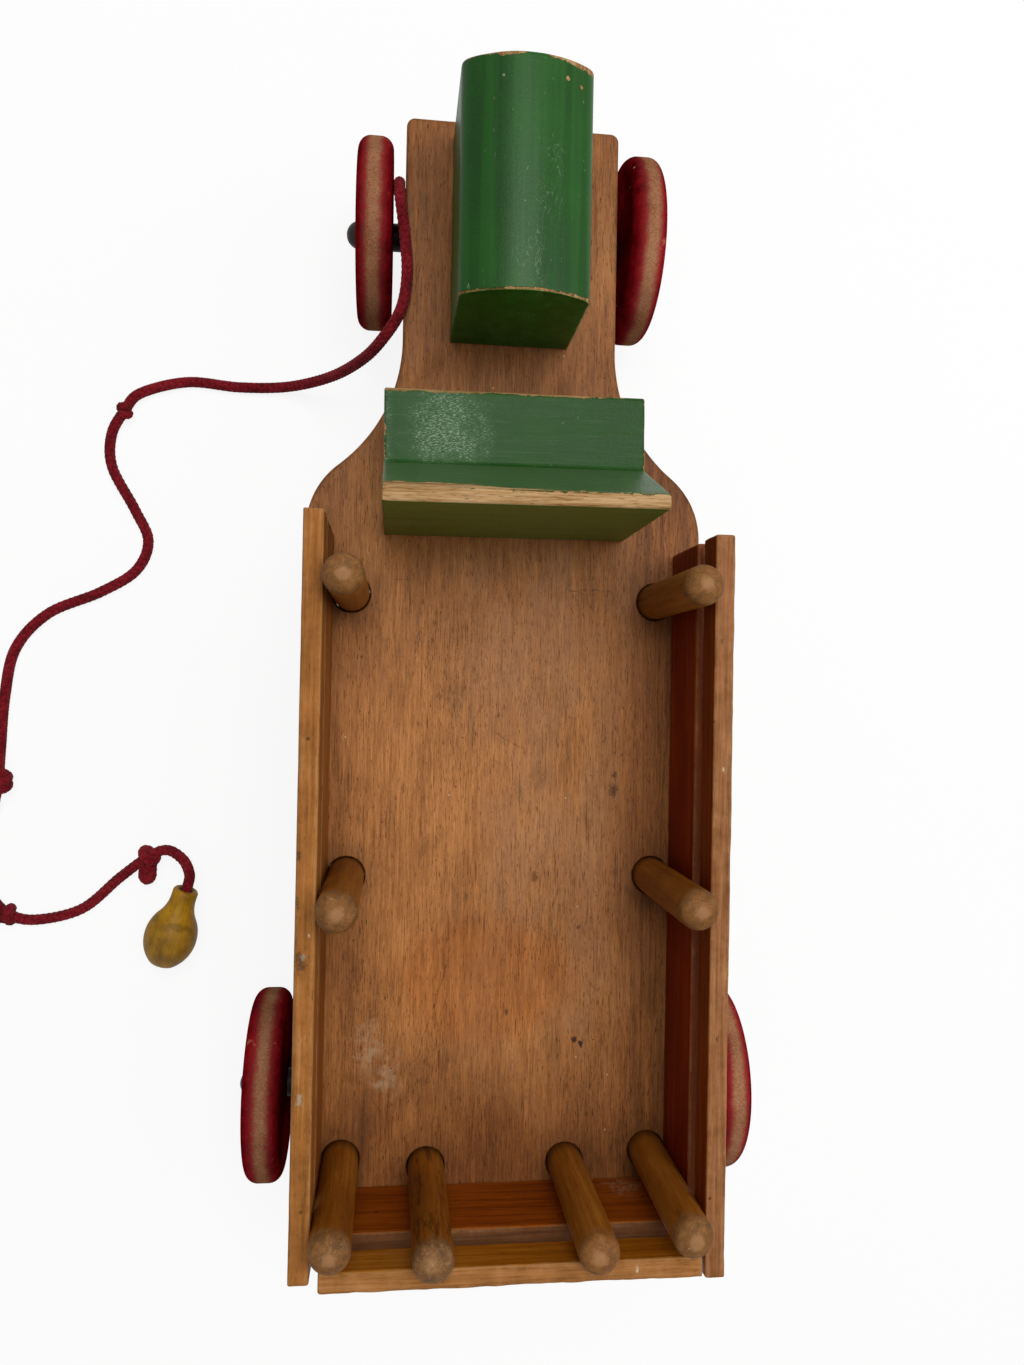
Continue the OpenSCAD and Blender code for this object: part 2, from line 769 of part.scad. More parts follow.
tailgate() brads(gate_stake_y);  // tailgate_brads
hood_screws();
seat_screws();
axle_block_screws();
screw_eye();
pull_cord();
cord_knots();
pull_bead();
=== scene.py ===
import math

import bmesh
import bpy
import numpy as np
from mathutils import Matrix, Vector, noise


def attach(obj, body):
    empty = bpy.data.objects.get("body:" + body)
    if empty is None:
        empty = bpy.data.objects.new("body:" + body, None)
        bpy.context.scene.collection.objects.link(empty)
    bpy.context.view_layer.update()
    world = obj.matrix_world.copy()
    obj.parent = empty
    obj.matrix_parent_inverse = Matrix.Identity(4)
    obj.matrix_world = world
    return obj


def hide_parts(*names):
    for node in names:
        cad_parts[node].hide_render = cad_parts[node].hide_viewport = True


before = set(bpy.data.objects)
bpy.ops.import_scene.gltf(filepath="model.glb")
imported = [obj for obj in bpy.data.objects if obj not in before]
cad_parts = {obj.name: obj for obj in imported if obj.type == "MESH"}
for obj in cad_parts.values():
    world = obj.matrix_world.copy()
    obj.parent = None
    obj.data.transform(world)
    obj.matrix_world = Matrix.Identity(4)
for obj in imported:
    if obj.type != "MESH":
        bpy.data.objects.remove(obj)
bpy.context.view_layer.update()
mm = 0.001


def metres(value):  # millimetres, alone or in lists, as metres
    return [metres(v) for v in value] if isinstance(value, (tuple, list)) else value * mm


def millimetres(**sizes):  # sizes written in millimetres and kept in metres
    return {name: metres(value) for name, value in sizes.items()}


# camera, where the photograph was taken from

camera = {
    "place": (-0.010707, 0.0392515, 0.422901),
    "right": (0.0184504, -0.9931640, 0.1152602),
    "down": (-0.9997595, -0.0196927, -0.0096485),
    "ahead": (0.0118523, -0.1150545, -0.9932885),
    "focalPixels": 1018.02,  # in an image 1024 wide and 1365 high
    "imageHeight": 1365,
    "sensor": 36,
    "nearest": 0.01,
}


def setCamera(s):
    lens = bpy.data.cameras.new("photoCamera")
    lens.sensor_width = s["sensor"]
    lens.lens = s["focalPixels"] / s["imageHeight"] * s["sensor"]
    lens.clip_start = s["nearest"]
    stand = bpy.data.objects.new("photoCamera", lens)
    columns = (Vector(s["right"]), -Vector(s["down"]), -Vector(s["ahead"]))
    turn = Matrix(columns).transposed().to_4x4()
    stand.matrix_world = Matrix.Translation(s["place"]) @ turn
    bpy.context.scene.collection.objects.link(stand)
    bpy.context.scene.camera = stand


setCamera(camera)
print("camera set")


# shader expressions

def bothWays(operation):  # an operator and its reflected form
    return lambda a, b: a.math(operation, a, b), lambda a, b: a.math(operation, b, a)


class Socket:  # one value in a finish; arithmetic on it adds Math nodes
    __add__, __radd__ = bothWays("ADD")
    __sub__, __rsub__ = bothWays("SUBTRACT")
    __mul__, __rmul__ = bothWays("MULTIPLY")
    __truediv__, __rtruediv__ = bothWays("DIVIDE")
    __pow__, __rpow__ = bothWays("POWER")

    def __init__(self, tree, link=None):
        self.tree = tree
        self.link = link

    def make(self, kind, settings={}, sockets={}, out=0):  # any node: its settings first, then its sockets
        node = self.tree.nodes.new(kind)
        for name, value in settings.items():
            setattr(node, name, value)
        for name, value in sockets.items():
            if isinstance(value, Socket):
                self.tree.links.new(value.link, node.inputs[name])
            else:
                node.inputs[name].default_value = value
        if isinstance(out, tuple):
            return [Socket(self.tree, node.outputs[name]) for name in out]
        return Socket(self.tree, node.outputs[out]) if len(node.outputs) else None

    def math(self, operation, *values):
        return self.make("ShaderNodeMath", {"operation": operation}, dict(enumerate(values)))

    def vector(self, operation, other, out=0):
        return self.make("ShaderNodeVectorMath", {"operation": operation}, {0: self, 1: other}, out)

    def __abs__(self):
        return self.math("ABSOLUTE", self)

    def least(self, other):
        return self.math("MINIMUM", self, other)

    def most(self, other):
        return self.math("MAXIMUM", self, other)

    def step(self, low, high):  # 0 below low and 1 above high, smooth between
        ends = {"Value": self, "From Min": low, "From Max": high}
        return self.make("ShaderNodeMapRange", {"interpolation_type": "SMOOTHSTEP"}, ends)

    def fall(self, low, high):  # 1 below low and 0 above high
        return 1 - self.step(low, high)

    def ramp(self, places, codes):  # a colour at each place
        shade = self.make("ShaderNodeValToRGB", {}, {"Fac": self})
        bands = shade.link.node.color_ramp.elements
        bands.remove(bands[0])
        for k, (at, code) in enumerate(zip(places, codes)):
            band = bands.new(at) if k else bands[0]
            band.position, band.color = at, tint(code)
        return shade

    def blend(self, first, second, how="MIX"):  # this mask takes first to second, both colours
        second = tint(second) if isinstance(second, str) else second
        settings = {"data_type": "RGBA", "blend_type": how}
        return self.make("ShaderNodeMix", settings, {0: self, 6: first, 7: second}, 2)

    def dyed(self, colour, factor):  # where this mask is, the colour is multiplied
        return self.blend(colour, (*factor, 1.0), "MULTIPLY")

    def stained(self, *layers):  # this colour under layers, each a mask and a colour
        colour = self
        for mask, code in layers:
            colour = mask.blend(colour, code)
        return colour

    def between(self, first, second):  # this mask takes first to second, both numbers
        return self.make("ShaderNodeMix", {"data_type": "FLOAT"}, {0: self, 2: first, 3: second}, 0)

    def stretch(self, sizes):
        return self.vector("MULTIPLY", sizes)

    def away(self, point):
        return self.vector("DISTANCE", point, "Value")

    def parts(self):
        return self.make("ShaderNodeSeparateXYZ", {}, {0: self}, (0, 1, 2))

    def grainy(self, sizes, detail=2.0, rough=0.5, bend=0.0):  # noise; sizes per metre, the last fills up
        sizes = (*sizes, sizes[-1])[:3] if isinstance(sizes, tuple) else (sizes,) * 3
        inputs = {"Vector": self.stretch(sizes), "Scale": 1.0, "Detail": detail,
                  "Roughness": rough, "Distortion": bend}
        return self.make("ShaderNodeTexNoise", {}, inputs, 0)

    def specks(self, perMetre, size, share):  # round specks; share of the cells that hold one
        far, pick = self.make("ShaderNodeTexVoronoi", {}, {"Vector": self, "Scale": perMetre}, (0, 1))
        chosen = pick.parts()[0].step(1 - share, 1.02 - share)
        return chosen * far.fall(size * 0.6, size)

    def spot(self, centre, reach, ragged, squeeze=(1, 1)):  # 1 round a point of the plan; millimetres
        point = [c * q * mm for c, q in zip(centre, squeeze)]
        return (self.stretch((*squeeze, 0)).away((*point, 0)) + ragged).fall(*metres(reach))


def tint(code):  # a colour as it is written, in Blender's linear values
    parts = [int(code[i:i + 2], 16) / 255 for i in (0, 2, 4)]
    return (*[c / 12.92 if c <= 0.04045 else ((c + 0.055) / 1.055) ** 2.4 for c in parts], 1.0)


def startFinish(name):  # the start of a finish, and the place on a piece at rest in metres
    finish = bpy.data.materials.new(name)
    finish.use_nodes = True
    finish.node_tree.nodes.clear()
    start = Socket(finish.node_tree)
    start.finish = finish
    return start, start.make("ShaderNodeTexCoord", {}, {}, "Object")


def closeFinish(start, colour, rough, relief, depth, shine, **fixed):  # shine is the specular level
    bump = {"Strength": 1.0, "Distance": depth, "Height": relief}
    sockets = {"Base Color": colour, "Roughness": rough, "Specular IOR Level": shine}
    sockets["Normal"] = start.make("ShaderNodeBump", {}, bump)
    sockets.update({name.replace("_", " "): value for name, value in fixed.items()})
    shader = start.make("ShaderNodeBsdfPrincipled", {}, sockets)
    start.make("ShaderNodeOutputMaterial", {}, {"Surface": shader})
    return start.finish


def facing(start):  # parts of the normal in the piece's own frame
    return start.make("ShaderNodeTexCoord", {}, {}, "Normal").parts()


def stored(start, name):
    out = "Vector" if name == "grain" else "Fac"
    return start.make("ShaderNodeAttribute", {"attribute_name": name}, {}, out)


# mesh helpers

def addPiece(name, points, faces, finish, values={}):
    mesh = bpy.data.meshes.new(name)
    mesh.from_pydata([tuple(map(float, p)) for p in points], [], faces)
    mesh.validate()
    for key, value in values.items():  # one number or one vector for each point
        value = np.asarray(value, float)
        kind, slot = ("FLOAT_VECTOR", "vector") if value.ndim == 2 else ("FLOAT", "value")
        mesh.attributes.new(key, kind, "POINT").data.foreach_set(slot, value.ravel())
    mesh.polygons.foreach_set("use_smooth", [True] * len(mesh.polygons))
    mesh.materials.append(finish)
    piece = bpy.data.objects.new(name, mesh)
    bpy.context.scene.collection.objects.link(piece)
    return piece


def standsFor(piece, node, body):
    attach(piece, body)
    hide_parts(node)


def roughness(points, scale, seed=0.0):  # smooth noise from -1 to 1 at each point
    offset = Vector((seed, 1.7 * seed, -seed))
    return np.array([noise.noise(Vector(p) * scale + offset) for p in points])


def inset(loop, distance):  # a closed loop moved inwards, by one distance or one for each point
    ahead = np.roll(loop, -1, 0) - loop
    ahead /= np.linalg.norm(ahead, axis=1)[:, None]
    behind = np.roll(ahead, 1, 0)
    inA = np.stack([-ahead[:, 1], ahead[:, 0]], 1)
    inB = np.stack([-behind[:, 1], behind[:, 0]], 1)
    mitre = (inA + inB) / np.maximum(1 + (inA * inB).sum(1), 0.3)[:, None]
    return loop + mitre * np.broadcast_to(distance, len(loop))[:, None]


def spaced(corners, gap):  # a closed outline with points at most gap apart
    loop = []
    for a, b in zip(corners, np.roll(corners, -1, 0)):
        count = max(1, math.ceil(np.linalg.norm(b - a) / gap))
        loop += [a + (b - a) * k / count for k in range(count)]
    return np.array(loop)


def arc(centre, radius, first, last, count):
    turn = np.radians(np.linspace(first, last, count))
    return np.stack([centre[0] + radius * np.cos(turn), centre[1] + radius * np.sin(turn)], 1)


def skinned(rings):  # faces between rings of points
    faces = []
    for lower, upper in zip(rings, rings[1:]):
        for k in range(len(lower)):
            j = (k + 1) % len(lower)
            faces.append(list(dict.fromkeys([lower[k], lower[j], upper[j], upper[k]])))
    return faces


def ogee(run, rise):  # both radii of a double curve together, and the turn of each half
    return (run * run + rise * rise) / (2 * rise), math.degrees(2 * math.atan(rise / run))


def edgeSteps(low, high, radius, walls):  # height, inset in radii and wear of each loop up a block's wall
    foot = [(low, 1.3, 0.0)]
    for a in np.linspace(0, math.pi / 2, 4):
        foot.append((low + radius * (1 - math.cos(a)), 1 - math.sin(a), 0.7 + 0.3 * math.sin(2 * a)))
    wall = [(h, 0.0, 0.0) for h in np.linspace(low + 1.9 * radius, high - 1.9 * radius, walls)]
    return foot + wall + [(low + high - h, i, w) for h, i, w in reversed(foot)]


def blockPiece(name, outline, ends, s, order, grainAxes, finish, holes=(), pockets=()):
    # a block cut to an outline between two ends, its edges worn round;
    # a hole is a wall of heights, radii and wear, and pockets are sunk in the low face
    shape = bmesh.new()
    wearOf = []
    low, high = ends
    radius = s["edge"]

    def ring(loop, height, wear):
        made = [shape.verts.new((p[0], p[1], height)) for p in loop]
        wearOf.extend([wear] * len(made))
        return made

    def skin(lower, upper, inner):
        for face in skinned([lower, upper]):
            shape.faces.new(face[::-1] if inner else face)

    def edges(loop):
        return [shape.edges.get((a, b)) or shape.edges.new((a, b)) for a, b in zip(loop, loop[1:] + loop[:1])]

    def circle(centre, sides):
        return arc(centre, 1, 0, 360, sides + 1)[:-1] - centre

    lean = 1 + s["wander"] * roughness([(*p, 0) for p in outline], 140, len(outline) % 7)
    steps = edgeSteps(low, high, radius, s["walls"])
    stacks = [[ring(inset(outline, radius * share * lean), h, w) for h, share, w in steps]]
    for centre, wall in holes:
        turned = circle(centre, 48)
        stacks.append([ring(centre + turned * size, h, w) for h, size, w in wall])
    for k, stack in enumerate(stacks):
        for lower, upper in zip(stack, stack[1:]):
            skin(lower, upper, k > 0)
    lowRims = [stack[0] for stack in stacks]
    for centre, size, depth in pockets:
        turned = circle(centre, 24)
        cone = ((size, 0), (size * 0.55, depth), (size * 0.1, depth))
        rims = [ring(centre + turned * r, low + d, 0.0) for r, d in cone]
        skin(rims[0], rims[1], True)
        skin(rims[1], rims[2], True)
        shape.faces.new(rims[2])
        lowRims.append(rims[0])
    for rims in (lowRims, [stack[-1] for stack in stacks]):
        bmesh.ops.triangle_fill(shape, edges=[e for rim in rims for e in edges(rim)], use_beauty=True)
    shape.verts.index_update()
    points = np.array([v.co for v in shape.verts])[:, order]
    for v, p in zip(shape.verts, points):
        v.co = p
    bmesh.ops.recalc_face_normals(shape, faces=shape.faces)
    faces = [[v.index for v in f.verts] for f in shape.faces]
    shape.free()
    return addPiece(name, points, faces, finish, {"wear": wearOf, "grain": points[:, grainAxes]})


def boardPiece(name, low, high, radius, cells, wander, grainAxes, offset, finish):
    # a sawn board on a lattice of points, its edges worn round by uneven amounts
    low, high = np.array(low), np.array(high)
    near = radius * np.array([0, 0.3, 0.65, 1.0, 1.7])
    axes = []
    for a in range(3):
        middle = np.linspace(low[a] + 2.4 * radius, high[a] - 2.4 * radius, cells[a])
        axes.append(np.concatenate([low[a] + near, middle, (high[a] - near)[::-1]]))
    index, points, faces = {}, [], []

    def corner(at):
        cell = (at[0], at[1], at[2])
        if cell not in index:
            index[cell] = len(points)
            points.append([axes[k][i] for k, i in enumerate(cell)])
        return index[cell]

    for a in range(3):
        b, c = (a + 1) % 3, (a + 2) % 3
        for side in (0, len(axes[a]) - 1):
            for u, v in np.ndindex(len(axes[b]) - 1, len(axes[c]) - 1):
                square = ((u, v), (u + 1, v), (u + 1, v + 1), (u, v + 1))
                face = [corner({a: side, b: i, c: j}) for i, j in square]
                faces.append(face if side else face[::-1])
    points = np.array(points)
    gaps = np.sort(np.minimum(points - low, high - points), axis=1)
    wear = np.exp(-gaps[:, 1] / (1.2 * mm))
    soft = 1 + wander * roughness(points, 110, offset) + 0.5 * wander * roughness(points, 420, offset)
    soft = np.clip(radius * soft, 0.25 * radius, 1.9 * radius)[:, None]
    inner = np.clip(points, low + soft, high - soft)
    out = points - inner
    rounded = inner + out / np.maximum(np.linalg.norm(out, axis=1), 1e-9)[:, None] * soft
    grain = (points - low)[:, grainAxes] + np.array([offset * 0.37, offset * 0.061, offset * 0.043])
    return addPiece(name, rounded, faces, finish, {"wear": wear, "grain": grain})


def turnedPiece(name, profile, s, offset, tone, finish):
    # turned on a lathe about Z; a profile point is a radius and a height
    points, rings = [], []
    for radius, height in profile:
        sides = s["segments"] if radius else 1  # one point on the axis itself
        rings.append([len(points) + k % sides for k in range(s["segments"])])
        for k in range(sides):
            a = 2 * math.pi * k / sides
            points.append((radius * math.cos(a), radius * math.sin(a), height))
    points = np.array(points)
    points[:, :2] *= (1 + s["wobble"] * roughness(points, 90, offset))[:, None]
    grain = points[:, [2, 0, 1]] + np.array([offset * 0.41, offset * 0.053, offset * 0.047])
    values = {"grain": grain, "tone": np.full(len(points), tone)}
    return addPiece(name, points, skinned(rings), finish, values)


# pull cord: the route from the eye to the bead, then its braid

cord = {
    "diameter": 4.1 * mm,
    "route": [  # millimetres, from the knot behind the eye
        (182.7, -5.2, 34), (182.6, 6, 33.4), (181.4, 23, 31), (179, 34, 32.5), (177.5, 39.5, 38.5),
        (176, 40.8, 45.5), (173.5, 40.8, 54.5), (166, 40.6, 61.8), (152.5, 38.7, 61.9), (138, 37.5, 61.7),
        (125, 39.3, 62.6), (115.5, 45, 60.3), (112, 53, 45), (112, 66, 21.5), (112, 84, 5),
        (111.5, 103.5, 2.3), (112.5, 124, 2.3), (107, 142, 2.8), (99.4, 147.9, 3.6), (90, 153, 2.3),
        (77, 152.5, 2.15), (60.5, 143.5, 2.15), (48, 138, 2.15), (36, 142.5, 2.15), (27, 156, 2.15),
        (18, 175.5, 2.15), (4, 187.5, 2.15), (-15, 191.2, 2.15), (-36, 192, 3.2), (-49.5, 191.8, 5.8),
        (-62, 195, 3.2), (-77, 198.6, 2.3), (-92, 195, 2.6), (-100, 187, 4.4), (-102.7, 177, 2.4),
        (-98.5, 160, 2.15), (-86.2, 145.8, 3.1), (-77.2, 134, 6.1), (-74.6, 126.8, 7.4), (-77.6, 120.4, 10.4),
        (-82.2, 117.3, 12.9),
    ],
    "strands": 12,
    "lay": 13.0 * mm,  # length of one turn of a strand
    "step": 0.5 * mm,
    "sides": 5,
    # shares of the radius
    "core": 0.62, "strandAt": 0.76, "weave": 0.07, "strandWide": 0.4, "strandThick": 0.23,
}
bead = {
    "neck": (-88.9, 118.1, 13),  # millimetres
    "heading": 162,
    "tip": 8,
    "segments": 64, "wobble": 0.012,
    **millimetres(length=31.5, neckRadius=4.8, neckLength=3.6, bellyRadius=10, bellyAt=20.2,
                  endRadius=4.7, hollow=14, boreRadius=2.25, boreDepth=20),
}
turnTo, turnDown = math.radians(bead["heading"]), math.radians(bead["tip"])
bead["axis"] = np.array([
    math.cos(turnTo) * math.cos(turnDown), math.sin(turnTo) * math.cos(turnDown), -math.sin(turnDown)])


def smoothLine(corners, perSpan):  # a curve through all the points
    corners = np.array(corners, float)
    line = []
    for i in range(len(corners) - 1):
        a, b, c, d = (corners[min(max(k, 0), len(corners) - 1)] for k in (i - 1, i, i + 1, i + 2))
        for t in np.arange(perSpan) / perSpan:
            bend = (2 * a - 5 * b + 4 * c - d) + t * (3 * (b - c) + d - a)
            line.append(b + 0.5 * t * ((c - a) + t * bend))
    return np.array(line + [corners[-1]])


def evenly(line, gap):
    along = np.concatenate([[0], np.cumsum(np.linalg.norm(np.diff(line, axis=0), axis=1))])
    at = np.linspace(0, along[-1], max(2, round(along[-1] / gap) + 1))
    return np.stack([np.interp(at, along, line[:, k]) for k in range(3)], 1), at


def carriedSides(line):  # two sides at each point, without twist
    ahead = np.gradient(line, axis=0)
    ahead /= np.linalg.norm(ahead, axis=1)[:, None]
    side = np.cross(ahead[0], (0.31, 0.2, 0.93))
    sides = []
    for t in ahead:
        side = side - t * side.dot(t)
        side /= np.linalg.norm(side)
        sides.append(side.copy())
    return np.array(sides), np.cross(ahead, sides)


def braid(line, s, thickness):  # strands that pass over and under each other round a core
    path, at = evenly(line, s["step"])
    sideA, sideB = carriedSides(path)
    half = s["strands"] // 2
    radius = thickness / 2
    points, faces, tones = [], [], []

    def tube(ringPoints, tone):
        count, sides = ringPoints.shape[:2]
        first = len(points)
        points.extend(ringPoints.reshape(-1, 3))
        tones.extend([tone] * (count * sides))
        rings = [list(range(first + i * sides, first + (i + 1) * sides)) for i in range(count)]
        faces.extend([*skinned(rings), rings[0][::-1], rings[-1]])

    def oval(sides, wide, wideWay, thick, thickWay):  # offsets of one ring at each point of the path
        turns = np.linspace(0, 2 * math.pi, sides + 1)[:-1, None]
        return wide * np.cos(turns) * wideWay[:, None], thick * np.sin(turns) * thickWay[:, None]

    a, b = oval(8, 1, sideA, 1, sideB)
    tube(path[:, None] + s["core"] * radius * (a + b), -0.8)
    for k in range(s["strands"]):
        way = 1 if k % 2 else -1
        turn = 2 * math.pi * (k // 2) / half + way * 2 * math.pi * at / s["lay"]
        over = way * np.cos(2 * math.pi * half * at / s["lay"])
        out = np.cos(turn)[:, None] * sideA + np.sin(turn)[:, None] * sideB
        middle = path + out * (radius * (s["strandAt"] + s["weave"] * over))[:, None]
        along = np.gradient(middle, axis=0)
        along /= np.linalg.norm(along, axis=1)[:, None]
        across = np.cross(along, out)
        across /= np.linalg.norm(across, axis=1)[:, None]
        a, b = oval(s["sides"], s["strandWide"] * radius, across, s["strandThick"] * radius, out)
        tube(middle[:, None] + a + b, math.sin(k * 2.4))
    return points, faces, tones, path


def cottonFinish():
    start, place = startFinish("cordCotton")
    fuzz = place.grainy(2600, 3, 0.7)
    worn = place.grainy(60)
    shade = 0.5 + (fuzz - 0.5) * 0.9 + (worn - 0.5) * 0.7 + stored(start, "tone") * 0.12
    colour = shade.ramp((0.1, 0.5, 0.9), ("3a0409", "750f19", "9c2630"))
    return closeFinish(start, colour, 0.88, fuzz, 0.00025, 0.1, Sheen_Weight=0.05, Sheen_Roughness=0.5)


knots = {
    # point of the route, slide along the cord, size of the lump, turns of the cord and how it is turned
    "places": [(0, 0, 4.2 * mm, 1.7, 0.4), (18, 0, 3.5 * mm, 1.1, 1.1), (29, -1.5 * mm, 5.4 * mm, 2.7, 0.2),
               (33, 0, 4.3 * mm, 1.3, 2.0), (37, 0, 5.0 * mm, 1.15, 2.6)],
    "cordThickness": 3.8 * mm,
    "tailFrom": 37,
    "tailHeading": 174,
    "tailLength": 11.4 * mm,
    # share of the tail's length, and millimetres aside
    "tail": [(0, 1.2), (0.45, 1.55), (0.74, 1.5), (0.85, 0.0), (0.74, -1.5), (0.45, -1.55), (0, -1.2)],
}


def knotLoop(centre, ahead, size, turns, turn):  # the cord drawn tight round its standing part
    t = np.linspace(0, 2 * math.pi * turns, 90)
    reach = size - knots["cordThickness"] / 2
    along = (t / t[-1] - 0.5) * turns * 0.8 * knots["cordThickness"]
    dip = 1 - 0.35 * abs(2 * t / t[-1] - 1) ** 6  # both ends tuck in
    loop = np.stack([along, reach * dip * np.cos(t), reach * dip * np.sin(t)], 1)
    tilt = Vector(ahead).to_track_quat("X", "Z").to_matrix() @ Matrix.Rotation(turn, 3, "X")
    return loop @ np.array(tilt @ Matrix.Rotation(0.3, 3, "Y")).T + centre


def makeCord():
    finish = cottonFinish()
    corners = [np.array(p) for p in cord["route"]]
    corners += [np.array(bead["neck"]) + bead["axis"] * d for d in (-2.5, 9, 19)]
    corners = np.array(corners) * mm
    points, faces, tones, path = braid(smoothLine(corners, 24), cord, cord["diameter"])
    piece = addPiece("pullCord", points, faces, finish, {"tone": tones})
    standsFor(piece, "pull_cord", "truck")
    lumps, lumpFaces, lumpTones = [], [], []
    for at, slide, size, turns, turn in knots["places"]:
        ahead = corners[min(at + 1, len(corners) - 1)] - corners[max(at - 1, 0)]
        centre = corners[at] + ahead / np.linalg.norm(ahead) * slide
        lines = [knotLoop(centre, ahead, size, turns, turn)]
        if at == knots["tailFrom"]:
            heading = math.radians(knots["tailHeading"])
            out = np.array([math.cos(heading), math.sin(heading), -0.16])
            side = np.array([-math.sin(heading), math.cos(heading), 0])
            far = knots["tailLength"]
            tail = [corners[at] + out * far * a + side * b * mm for a, b in knots["tail"]]
            lines.append(smoothLine(tail, 10))
        for loop in lines:
            more, moreFaces, moreTones, _ = braid(loop, cord, knots["cordThickness"])
            lumpFaces += [[i + len(lumps) for i in f] for f in moreFaces]
            lumps += more
            lumpTones += moreTones
    lump = addPiece("cordKnots", lumps, lumpFaces, finish, {"tone": lumpTones})
    standsFor(lump, "cord_knots", "truck")
    return piece, lump, path


cordPiece, knotPiece, cordPath = makeCord()


# bead on the end of the cord

def beadFinish():
    start, place = startFinish("beadStain")
    x, y, z = place.parts()
    grain = stored(start, "grain")
    fibre = grain.grainy((40, 1100), 3, 0.6)
    blotch = grain.grainy((110, 150), 3, 0.6)
    uneven = blotch - 0.5
    shade = 0.5 + (fibre - 0.5) * 0.35 + uneven * 1.3
    colour = shade.ramp((0.2, 0.5, 0.8), ("7a5202", "a37503", "ba8a12"))
    brown = shade.ramp((0.2, 0.5, 0.8), ("5e4109", "8d6512", "a57c29"))
    dusk = (z + uneven * 0.012).step(0.0125, 0.0165)  # the belly is browner than the neck
    seam = abs(z + uneven * 0.01 - 0.0135).fall(0.0004, 0.0022) * blotch.step(0.33, 0.52)
    dents = grain.specks(520, 0.22, 0.3)
    mouth = z.fall(0.0, 0.0016) * ((x * x + y * y) ** 0.5).fall(0.0022, 0.0040)
    end = z.step(0.0304, 0.0314)
    colour = colour.stained((dusk * 0.75, brown), (seam * 0.5, "4a300a"), (dents * 0.45, "4a3010"),
                            (mouth, "2c1b0a"), (end * 0.4, "6d4c1a"))
    return closeFinish(start, colour, 0.42 + blotch * 0.25, fibre * 0.4 - dents * 0.6, 0.00014, 0.25)


def beadProfile(s):
    neck, length, end, bore = s["neckRadius"], s["length"], s["endRadius"], s["boreRadius"]
    radii, turn = ogee(s["bellyAt"] - s["neckLength"], s["bellyRadius"] - neck)
    hollow = arc((s["neckLength"], neck + s["hollow"]), s["hollow"], -90, -90 + turn, 14)
    crownR = radii - s["hollow"]
    crown = arc((s["bellyAt"], s["bellyRadius"] - crownR), crownR, 90 + turn, 90, 12)
    fall = length - s["bellyAt"]
    bellyR = ogee(fall, s["bellyRadius"] - end)[0]
    close = math.degrees(math.asin(fall / bellyR))
    belly = arc((s["bellyAt"], s["bellyRadius"] - bellyR), bellyR, 90, 90 - close + 2, 16)
    mouth = [(s["boreDepth"], 0), (s["boreDepth"], bore), (1.2 * mm, bore), (0.35 * mm, bore + 0.25 * mm),
             (0, bore + 0.9 * mm), (0, neck - 1.1 * mm), (0.3 * mm, neck - 0.4 * mm), (1.0 * mm, neck)]
    foot = [(length - 0.1 * mm, end - 0.7 * mm), (length, end - 1.6 * mm), (length, 0)]
    return [(r, h) for h, r in [*mouth, *hollow, *crown[1:], *belly[1:], *foot]]


def makeBead():
    piece = turnedPiece("pullBead", beadProfile(bead), bead, 3.0, 0.0, beadFinish())
    turn = Vector(bead["axis"]).to_track_quat("Z", "Y").to_matrix().to_4x4()
    piece.matrix_world = Matrix.Translation(Vector(bead["neck"]) * mm) @ turn
    standsFor(piece, "pull_bead", "truck")
    return piece


beadPiece = makeBead()
print("bead turned")


# wood: fibreSizes are along and across the grain, per metre; pores have a tone, a threshold and a share;
# rings have wander, distance of the pith, run-out and spacing;
# shares are of fibre, fine fibre, blotches and late wood

def woodTones(start, place, s):  # colour and relief of sawn wood; the place's x runs with the grain
    x, y, z = place.parts()
    wander, pith, run, ringGap = s["rings"]
    poreTone, poreFrom, poreShare = s["pores"]
    fibreShare, fineShare, blotchShare, lateShare = s["shares"]
    across = y + (place.grainy((7, 26)) - 0.5) * wander
    depth = z + pith + x * run
    late = start.math("FRACT", (across * across + depth * depth) ** 0.5 / ringGap) ** 3
    fibre, fine = (place.grainy(sizes, 3, 0.6) for sizes in s["fibreSizes"])
    crowd = place.grainy((16, 60)) - 0.5  # pores come in drifts
    dash = (place.grainy((300, 3100), 1) + crowd * 0.18).step(poreFrom, poreFrom + 0.05)
    blotch = place.grainy((13, 28), 3, 0.55)
    shade = 0.5 + (fibre - 0.5) * fibreShare + (fine - 0.5) * fineShare
    shade = shade + (blotch - 0.5) * blotchShare - (late - 0.25) * lateShare
    colour = shade.ramp((0.2, 0.5, 0.8), s["tones"]).stained((dash * poreShare, poreTone))
    return colour, fibre * 0.45 + fine * 0.35 - dash * 0.7 - late * 0.25


